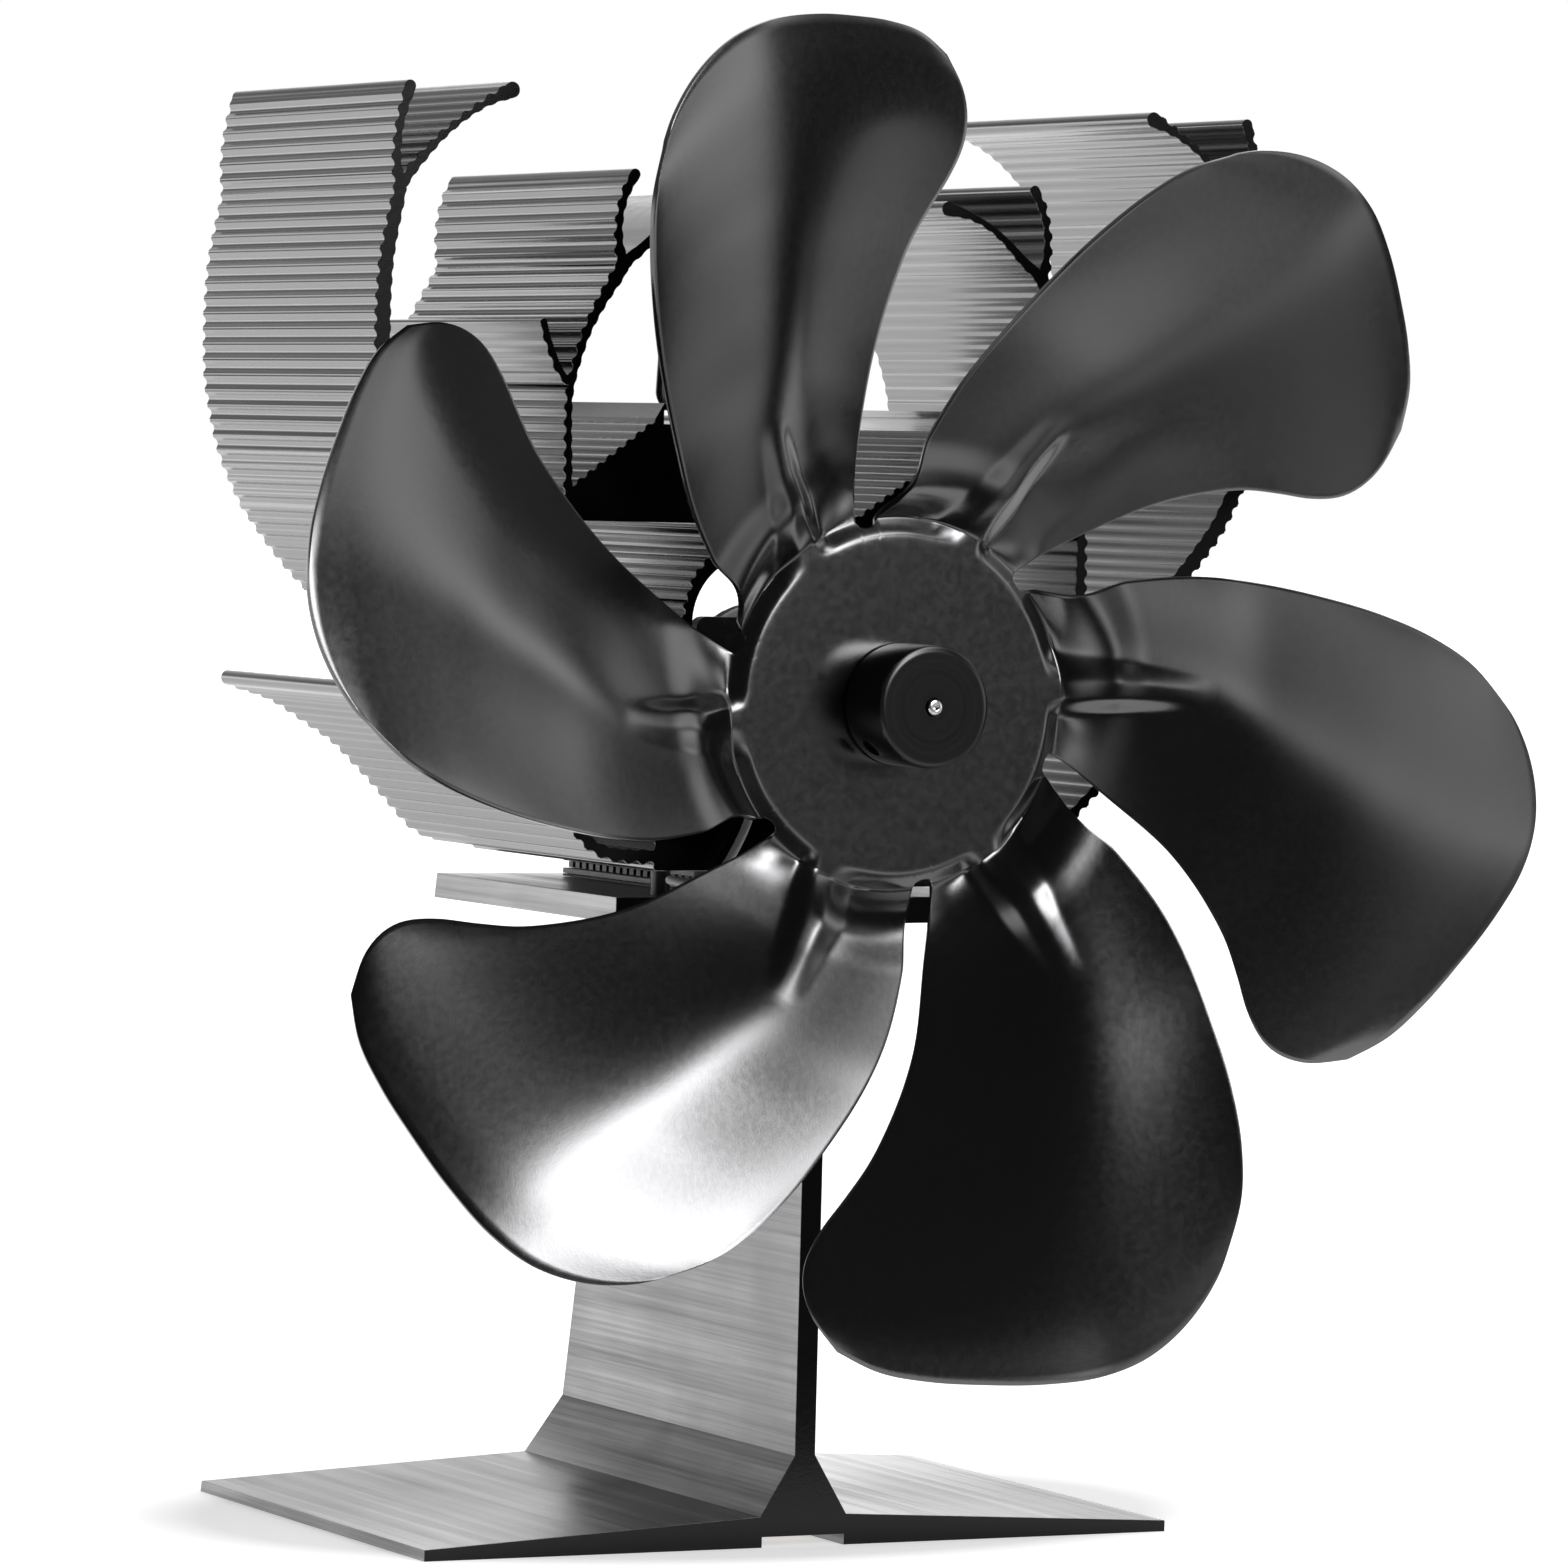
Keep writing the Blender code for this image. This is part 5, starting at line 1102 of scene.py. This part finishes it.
    def disc(self, axis: float) -> np.ndarray:
        """The grid of a sixth of the disc, from one blade's root over the slot to the next.

        Between the roots the disc ends in a round slot floor, a half circle below the roots.

        Args:
            axis: Angle of the blade's axis in degrees.

        Returns:
            The points, ring by ring.
        """
        lead, trail = self.leading[0][1], self.trailing[0][1]
        chord = np.linspace(0, 1, self.chords)
        slot = np.linspace(0, 1, self.slot_points + 2)[1:-1]
        next_lead = lead + 360 / self.blades
        angle = np.concatenate([lead + (trail - lead) * chord, trail + (next_lead - trail) * slot])
        floor = np.concatenate([np.full(self.chords, self.root),
                                self.root - self.slot_depth * np.sqrt(1 - (2 * slot - 1) ** 2)])
        share = np.concatenate([np.linspace(0, 0.78, 8), np.linspace(0.80, 1, 22)])
        radius = self.bore + (floor - self.bore)[None, :] * share[:, None]
        angle = np.broadcast_to(angle, radius.shape)
        reach = self.finger_height(radius, angle)
        turn = np.radians(axis - angle)
        return np.stack([radius * np.cos(turn), SHEET_FRONT - reach,
                         HUB_HEIGHT + radius * np.sin(turn)], axis=-1)

    def build(self) -> None:
        """Joins the six blades and the six parts of the disc, and gives the sheet its wall."""
        points, faces, count = [], [], 0
        blade_faces = grid_faces(self.spans, self.chords)
        axes = [90 - 360 / self.blades * blade for blade in range(self.blades)]
        for axis in axes:
            grid = self.blade(axis).reshape(-1, 3)
            points.append(grid)
            faces.append(blade_faces + count)
            count += len(grid)
        rows = np.concatenate([self.disc(axis) for axis in axes], axis=1)
        points.append(rows.reshape(-1, 3))
        faces.append(grid_faces(rows.shape[0], rows.shape[1], around=True) + count)
        wheel = make_piece("fan_wheel_sheet", np.vstack(points), np.vstack(faces)[:, ::-1],
                           BLADE_PAINT, "fan", ["fan_wheel"], closed=False, sharp=75)
        if sum(face.normal.y * face.area for face in wheel.data.polygons) > 0:
            wheel.data.flip_normals()
        wall = wheel.modifiers.new("Sheet", "SOLIDIFY")
        wall.thickness = self.sheet
        wall.offset = -1
        edge = wheel.modifiers.new("Rounded rim", "BEVEL")
        edge.width = self.rim
        edge.segments = 2
        edge.limit_method = "ANGLE"
        edge.angle_limit = math.radians(60)


@dataclass
class Hub:
    """The turned boss with its set screw, and the motor's shaft that ends in it."""

    radius: float = 0.0079
    length: float = 0.0096
    chamfer: float = 0.0005
    shaft: float = 0.001
    bore: float = 0.00104
    dimple: float = 0.0013
    spigot: float = 0.0042
    peened: float = 0.0052
    peened_length: float = 0.001
    edge: float = 0.0003
    screw_bore: float = 0.0014
    screw_place: float = 0.0065
    screw_bearing: float = 225

    def boss(self) -> bpy.types.Object:
        """The turned boss: its profile carried round the hub's line, with a bored set screw hole.

        Returns:
            The boss.
        """
        front = DISC_FRONT - self.edge - self.length
        back = front + self.length
        lip = SHEET_FRONT + 0.0008 + self.edge
        end, soft = lip + self.peened_length, self.chamfer * 0.3
        profile = ((self.bore, end), (self.peened - self.peened_length / 2, end),
                   (self.peened, lip + self.peened_length / 2), (self.peened, lip),
                   (self.spigot, lip), (self.spigot, back), (self.radius - self.edge, back),
                   (self.radius, back - self.edge), (self.radius, front + self.chamfer),
                   (self.radius - soft, front + soft), (self.radius - self.chamfer, front),
                   (self.radius - 2 * self.chamfer, front), (self.dimple + 0.0002, front),
                   (self.dimple, front), (self.bore, front + self.edge), (self.bore, end))
        points, faces = turned_shape(profile, (0, 0, HUB_HEIGHT), steps=128)
        boss = make_piece("hub_boss_turned", points, faces, BOSS_BLACK, "fan", ["hub_boss"])
        bearing = math.radians(self.screw_bearing)
        way = np.array((math.cos(bearing), 0, math.sin(bearing)))
        centre = np.array((0, front + self.screw_place, HUB_HEIGHT))
        path = centre + way * np.linspace(0.002, 0.012, 6)[:, None]
        bore_points, bore_faces = tube_shape(path, self.screw_bore, (0, 1, 0), 40)
        cutter = make_piece("set_screw_bore", bore_points, bore_faces, BOSS_BLACK, "fan")
        self.bored(boss, cutter)
        return boss

    def bored(self, target: bpy.types.Object, cutter: bpy.types.Object) -> None:
        """Takes the cutter's shape out of the target's mesh and removes the cutter.

        Args:
            target: The piece that is bored.
            cutter: The shape of the hole.
        """
        boolean = target.modifiers.new("Bore", "BOOLEAN")
        boolean.operation = "DIFFERENCE"
        boolean.solver = "EXACT"
        boolean.object = cutter
        bpy.context.view_layer.update()
        graph = bpy.context.evaluated_depsgraph_get()
        bored = bpy.data.meshes.new_from_object(target.evaluated_get(graph))
        target.modifiers.clear()
        target.data = bored
        bored.set_sharp_from_angle(angle=math.radians(35))
        bpy.data.objects.remove(cutter, do_unlink=True)

    def build(self) -> None:
        """Builds the boss, the shaft with its centre dimple and the set screw."""
        self.boss()
        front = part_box("motor_shaft")[0][1]
        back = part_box("motor_shaft")[1][1]
        profile = ((0, back), (self.shaft - 0.0002, back), (self.shaft, back - 0.0002),
                   (self.shaft, front + 0.0002), (self.shaft - 0.0001, front + 0.00006),
                   (self.shaft - 0.0003, front), (0.00042, front), (0.0003, front + 0.00008),
                   (0.00012, front + 0.00025), (0, front + 0.0003))
        points, faces = turned_shape(profile, (0, 0, HUB_HEIGHT), steps=48)
        make_piece("motor_shaft_turned", points, faces, SHAFT_STEEL, "fan", ["motor_shaft"])
        dressed_node("set_screw", DARK_STEEL, "fan", 0.00008)


@dataclass
class Stand:
    """The brushed extrusion that carries the fan, with the thermal strip under its foot."""

    bevel: float = 0.00022

    def build(self) -> None:
        """Dresses the stand, the strip and its rivet."""
        dressed_node("stand", STAND_METAL, "frame", self.bevel)
        dressed_node("bimetal_strip", BIMETAL, "frame", 0.00006, 2)
        dressed_node("strip_rivet", SCREW_STEEL, "frame", 0.00008, 2)


@dataclass
class Module:
    """The thermoelectric module with its pads and leads, and the screws that clamp it."""

    pellet: float = 0.00125
    columns: int = 14
    rows: int = 19
    sleeve: float = 0.00055
    lead_start: tuple[float, float] = (-0.012375, 0.0081)
    lead_end: tuple[float, float, float] = (-0.0075, 0.0228, -0.0014)
    left_route: Rows = ((-0.0165, 0.0032, -0.0243), (-0.0215, 0.0004, -0.0238),
                        (-0.0220, -0.0020, -0.0238), (-0.0192, -0.0027, -0.0243),
                        (-0.0160, -0.0027, -0.0228), (-0.0125, -0.0025, -0.0172),
                        (-0.0110, -0.0018, -0.0130), (-0.0105, 0.0005, -0.0111),
                        (-0.0102, 0.0060, -0.0112), (-0.0100, 0.0160, -0.0115),
                        (-0.0095, 0.0215, -0.0098), (-0.0080, 0.0228, -0.0060))

    def pellets(self) -> None:
        """The pellets: one small block at each place of a grid, all in one mesh.

        A block's corners are the grid place plus the eight corners of a box.
        """
        low, high = (np.array(corner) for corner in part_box("module_pellets"))
        half = self.pellet / 2
        across = np.linspace(low[0] + half, high[0] - half, self.columns)
        along = np.linspace(low[1] + half, high[1] - half, self.rows)
        places = np.stack(np.meshgrid(across, along, indexing="ij"), axis=-1).reshape(-1, 1, 2)
        corner = np.array([(-1, -1), (1, -1), (1, 1), (-1, 1)]) * half
        flat = places + corner[None]
        lower = np.concatenate([flat, np.full((*flat.shape[:2], 1), low[2])], axis=-1)
        upper = np.concatenate([flat, np.full((*flat.shape[:2], 1), high[2])], axis=-1)
        points = np.concatenate([lower, upper], axis=1).reshape(-1, 3)
        block = np.array([(3, 2, 1, 0), (4, 5, 6, 7), (0, 1, 5, 4), (1, 2, 6, 5), (2, 3, 7, 6),
                          (3, 0, 4, 7)])
        faces = (np.arange(len(flat))[:, None, None] * 8 + block[None]).reshape(-1, 4)
        make_piece("pellet_grid", points, faces, PELLET, "frame", ["module_pellets"])

    def lead(self, side: int, name: str, finish: Finish) -> None:
        """A lead: a round sleeve carried along its route, from the module to the terminal.

        Args:
            side: 1 for the left lead and -1 for the right one.
            name: The node that it stands for.
            finish: Its sleeve.
        """
        low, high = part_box("module_pellets")
        start = (*self.lead_start, (low[2] + high[2]) / 2 - HUB_HEIGHT)
        route = smooth_path((start, *self.left_route, self.lead_end), 0.0006)
        points = route * (side, 1, 1) + (0, SINK_FRONT, HUB_HEIGHT)
        tube, faces = tube_shape(points, self.sleeve, (0.25, 0.9, -0.35), 20)
        make_piece(f"{name}_sleeve", tube, faces, finish, "frame", [name])

    def build(self) -> None:
        """Builds the pellets and the leads, and dresses the plates, pads, washers and screws."""
        for node in ("hot_pad", "cold_pad"):
            dressed_node(node, THERMAL_PAD, "frame", 0.00006, 2)
        for node in ("module_hot_plate", "module_cold_plate"):
            dressed_node(node, CERAMIC, "frame", 0.00008, 2)
        self.pellets()
        self.lead(1, "module_lead_left", LEAD_SLEEVE)
        self.lead(-1, "module_lead_right", LEAD_SLEEVE_DARK)
        for end in ("front", "back"):
            dressed_node(f"clamp_washer_{end}", WASHER, "frame", 0.0001, 2)
            dressed_node(f"clamp_screw_{end}", DARK_STEEL, "frame", 0.00015, 2)


@dataclass
class Motor:
    """The motor on its plate: can, end cap, bushes, magnets, brushes, terminals and armature."""

    radius: float = 0.012
    wall: float = 0.0009
    hole: float = 0.0031
    raised: float = 0.0056
    front_round: float = 0.0014
    base: float = 0.0012
    rim: float = 0.0026

    def can(self) -> None:
        """The drawn can: a profile with a rounded front edge, a step and a rolled back rim."""
        front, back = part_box("motor_can")[0][1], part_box("motor_can")[1][1]
        wide, inside, body = self.radius, self.radius - self.wall, self.radius - 0.0001
        face = front + 0.00012
        profile = ((self.hole, front), (self.raised, front), (self.raised + 0.0002, face),
                   (wide - self.front_round, face), (wide - 0.0005, front + 0.0004),
                   (body, front + 0.0010), (body, back - self.rim), (wide, back - 0.0023),
                   (wide, back - 0.0002), (wide - 0.0002, back), (inside, back),
                   (inside, front + self.base), (self.hole, front + self.base),
                   (self.hole, front))
        points, faces = turned_shape(profile, (0, 0, HUB_HEIGHT), steps=96)
        make_piece("motor_can_drawn", points, faces, MOTOR_STEEL, "frame", ["motor_can"], sharp=30)

    def build(self) -> None:
        """Builds the can and dresses the other pieces."""
        dressed_node("motor_plate", PLATE_BLACK, "frame", 0.0002)
        for side in ("left", "right"):
            dressed_node(f"plate_screw_{side}", DARK_STEEL, "frame", 0.0001, 2)
            dressed_node(f"motor_screw_{side}", SCREW_STEEL, "frame", 0.0001, 2)
            dressed_node(f"terminal_{side}", TERMINAL, "frame", 0.00006, 2)
            dressed_node(f"brush_{side}", CARBON, "frame", 0.00005, 2)
        self.can()
        dressed_node("motor_end_cap", CAP_PLASTIC, "frame", 0.0002, 2)
        for node in ("front_bush", "rear_bush"):
            dressed_node(node, BRONZE, "frame", 0.0001, 2)
        for node in ("magnet_upper", "magnet_lower"):
            dressed_node(node, FERRITE, "frame", 0.00015, 2)
        dressed_node("armature_core", ARMATURE, "fan", 0.00006, 2)
        for node in ("winding_a", "winding_b", "winding_c"):
            dressed_node(node, COPPER, "fan", 0.0002, 2)
        dressed_node("commutator", COPPER, "fan", 0.00005, 2)


@dataclass
class Handle:
    """The sprung wire handle, whose feet turn in the hole of the middle fin."""

    radius: float = 0.0007
    half_width: float = 0.0113
    rise: float = 0.0300
    lean: float = 0.0012
    foot_bend: float = 0.0022
    top_bend: float = 0.0035
    foot_gap: float = 0.0004
    points: int = 260

    def build(self) -> None:
        """Carries a round wire along the bail's outline: feet, legs with a lean, and the bow."""
        low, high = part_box("handle")
        depth, pivot = (low[1] + high[1]) / 2, low[2] + self.radius
        foot = corner_arc((self.half_width - self.foot_bend, self.foot_bend), self.foot_bend,
                          270, 10)
        top = corner_arc((self.half_width - self.lean - self.top_bend, self.rise - self.top_bend),
                         self.top_bend, 0, 12)
        half = np.vstack([[(self.foot_gap, 0)], foot, top])
        flat = np.vstack([half, half[::-1] * (-1, 1)])
        flat = flat[np.concatenate([[True], np.linalg.norm(np.diff(flat, axis=0), axis=1) > 1e-6])]
        length = np.concatenate([[0], np.cumsum(np.linalg.norm(np.diff(flat, axis=0), axis=1))])
        even = np.linspace(0, length[-1], self.points)
        line = np.column_stack([np.interp(even, length, column) for column in flat.T])
        path = np.column_stack([line[:, 0], np.full(len(line), depth), line[:, 1] + pivot])
        points, faces = tube_shape(path, self.radius, (0, 1, 0), 20)
        make_piece("handle_bail", points, faces, HANDLE_WIRE, "bail", ["handle"])


# Studio


@dataclass(frozen=True)
class Glow:
    """A soft round light of the room, far away. Its bearings and its width are degrees.

    The azimuth starts in front of the fan and grows to its right side.
    """

    azimuth: float
    elevation: float
    brightness: float
    width: float

    def light(self, tree: bpy.types.NodeTree, bearing: bpy.types.NodeSocket,
              total: bpy.types.NodeSocket) -> bpy.types.NodeSocket:
        """Adds the glow to the room: a bell curve of the angle between a direction and its own.

        Args:
            tree: The world's tree.
            bearing: The direction looked in.
            total: The brightness so far.

        Returns:
            The socket with the brightness that includes the glow.
        """
        turn, lift = math.radians(self.azimuth), math.radians(self.elevation)
        way = (math.sin(turn) * math.cos(lift), -math.cos(turn) * math.cos(lift), math.sin(lift))
        near = place_node(tree, "VectorMath", {0: bearing, 1: way}, operation="DOT_PRODUCT")
        narrow = 1 / math.radians(self.width) ** 2
        power = place_node(tree, "Math", {0: near.outputs["Value"], 1: narrow, 2: -narrow},
                           operation="MULTIPLY_ADD")
        bell = place_node(tree, "Math", {0: power.outputs[0]}, operation="EXPONENT")
        return place_node(tree, "Math", {0: bell.outputs[0], 1: self.brightness, 2: total},
                          operation="MULTIPLY_ADD").outputs[0]


@dataclass
class Studio:
    """The pale floor, the soft lights, the pale surroundings and the camera."""

    lens: float = 190.1
    azimuth: float = -26.95
    elevation: float = 2.27
    roll: float = 1.47
    shift: tuple[float, float] = (-0.012625, -0.010436)
    distance: float = 1.067045
    darkest: float = 0.01
    shadow_size: float = 1.3
    shadow_edge: tuple[float, float] = (0.95, 1.2)
    shadow_glow: float = 0.5
    room: tuple[tuple[float, Rows], ...] = (
        (2.0, ((1, 0.05, 0.45), (2, 0.24, 0.04))),
        (0.3, ((1, 0.05, 0.45), (2, 0.0, 0.6))),
    )
    glows: tuple[Glow, ...] = (
        Glow(18, 12, 15.0, 4.5), Glow(15, 24, 13.0, 4.5), Glow(26, 32, 6.5, 5.5),
        Glow(48, 2, 2.0, 6), Glow(60, 22, 1.7, 7), Glow(90, 18, 2.2, 5), Glow(90, -6, 1.4, 5),
        Glow(90, -30, 1.5, 5), Glow(56, 36, 1.4, 5), Glow(55, -17, 0.9, 6), Glow(-6, -18, 1.5, 5),
        Glow(16, -24, 1.1, 9), Glow(32, -20, 0.8, 6), Glow(50, -34, 0.5, 9),
        Glow(-48, -25, 1.8, 8), Glow(153, 9, 1.1, 20),
    )

    def floor(self) -> None:
        """A pale sheet under the fan: a flat grid, long to the back and short to the front.

        Its own glow is lower inside an ellipse round the stand: a painted soft shadow, within which
        the real shadow also shows.
        """
        across, along = np.meshgrid(np.linspace(-6, 6, 25), np.linspace(-0.10, 14, 40))
        grid = np.stack([across, along, np.zeros_like(across)], axis=-1).reshape(-1, 3)
        mesh = bpy.data.meshes.new("pale_floor")
        mesh.from_pydata(grid.tolist(), [], grid_faces(*across.shape).tolist())
        sheet = bpy.data.objects.new("pale_floor", mesh)
        bpy.context.scene.collection.objects.link(sheet)
        made = bpy.data.materials.new("Pale floor")
        made.use_nodes = True
        shader = made.node_tree.nodes["Principled BSDF"]
        shader.inputs["Base Color"].default_value = (0.8, 0.8, 0.8, 1)
        shader.inputs["Roughness"].default_value = 0.9
        shader.inputs["Emission Color"].default_value = (1, 1, 1, 1)
        place = place_node(made.node_tree, "TexCoord", {}).outputs["Object"]
        low, high = (np.array(corner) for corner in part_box("stand"))
        middle, half = (low + high) / 2, (high - low) / 2
        scale = np.array((1, 1, 0)) / (self.shadow_size * half)
        near = place_node(made.node_tree, "Mapping", {"Vector": place, "Scale": scale,
                                                      "Location": -middle * scale})
        away = place_node(made.node_tree, "VectorMath", {0: near.outputs[0]}, operation="LENGTH")
        # Painted shadow: the floor's glow drops inside the ellipse round the stand.
        glow = place_node(made.node_tree, "MapRange", {
            0: away.outputs["Value"], 1: self.shadow_edge[0], 2: self.shadow_edge[1],
            3: self.shadow_glow, 4: 1.0})
        made.node_tree.links.new(glow.outputs[0], shader.inputs["Emission Strength"])
        mesh.materials.append(made)

    def surroundings(self) -> None:
        """A white backdrop to look at, and for reflections a dark room with a pale back.

        The room's brightness is the sum of its light parts, its glows and the darkest value. The
        light parts are soft steps along the direction's axes: both lie behind the fan, the bright
        one near the horizon and below it, and the weak one above.
        """
        world = bpy.data.worlds.new("Studio")
        bpy.context.scene.world = world
        world.use_nodes = True
        tree = world.node_tree
        backdrop = tree.nodes["Background"]
        backdrop.inputs["Color"].default_value = (1, 1, 1, 1)
        way = place_node(tree, "SeparateXYZ", {0: place_node(tree, "TexCoord", {}).outputs[0]})
        shades = [self.room_light(tree, way, steps) for steps in self.room]
        total = shades[0]
        for shade in shades[1:]:
            total = place_node(tree, "Math", {0: total, 1: shade}, operation="ADD").outputs[0]
        bearing = place_node(tree, "TexCoord", {}).outputs[0]
        for glow in self.glows:
            total = glow.light(tree, bearing, total)
        total = place_node(tree, "Math", {0: total, 1: self.darkest}, operation="ADD").outputs[0]
        ray = place_node(tree, "LightPath", {})
        shade = place_node(tree, "Mix", {0: ray.outputs["Is Camera Ray"], 2: total, 3: 1.0})
        tree.links.new(shade.outputs[0], backdrop.inputs["Strength"])

    def room_light(self, tree: bpy.types.NodeTree, way: bpy.types.Node,
                   steps: tuple[float, Rows]) -> bpy.types.NodeSocket:
        """One light part of the room: its brightness times a soft step along each axis named.

        Args:
            tree: The world's tree.
            way: The node that splits the direction into X, Y and Z.
            steps: The brightness, and rows of axis number, start and end of each step.

        Returns:
            The socket that holds the brightness in each direction.
        """
        brightness, rows = steps
        total = None
        for axis, start, end in rows:
            step = place_node(tree, "MapRange", {0: way.outputs[int(axis)], 1: start, 2: end},
                              interpolation_type="SMOOTHSTEP").outputs[0]
            factor = brightness if total is None else total
            total = place_node(tree, "Math", {0: step, 1: factor}, operation="MULTIPLY").outputs[0]
        return total

    def camera(self) -> None:
        """The camera at the photograph's angle, worked out from its vanishing points."""
        turn, lift, roll = (math.radians(angle) for angle in (self.azimuth, self.elevation,
                                                              self.roll))
        right = Vector((math.cos(turn), math.sin(turn), 0))
        back = Vector((math.sin(turn) * math.cos(lift), -math.cos(turn) * math.cos(lift),
                       math.sin(lift)))
        up = back.cross(right)
        across = math.cos(roll) * right + math.sin(roll) * up
        upward = -math.sin(roll) * right + math.cos(roll) * up
        place = (Vector((0, SINK_FRONT - 0.0162, HUB_HEIGHT)) + across * self.shift[0]
                 + upward * self.shift[1] + back * self.distance)
        data = bpy.data.cameras.new("Photograph")
        data.lens = self.lens
        data.sensor_width = 36
        data.clip_end = 50
        camera = bpy.data.objects.new("Photograph", data)
        bpy.context.scene.collection.objects.link(camera)
        columns = (across, upward, back, place)
        camera.matrix_world = Matrix([[column[i] for column in columns] for i in range(3)]
                                     + [[0, 0, 0, 1]])
        bpy.context.scene.camera = camera

    def build(self) -> None:
        """Sets up the studio."""
        self.camera()
        self.floor()
        self.surroundings()
        bpy.context.scene.view_settings.view_transform = "Standard"


def main() -> None:
    """Builds the studio and then the fan, from the stand upwards."""
    logging.basicConfig(level=logging.INFO, format="%(message)s")
    Studio().build()
    for assembly in (Stand(), Module(), HeatSink(), Motor(), Hub(), FanWheel(), Handle()):
        LOG.info("Building: %s", type(assembly).__name__)
        assembly.build()


if __name__ == "__main__":
    main()
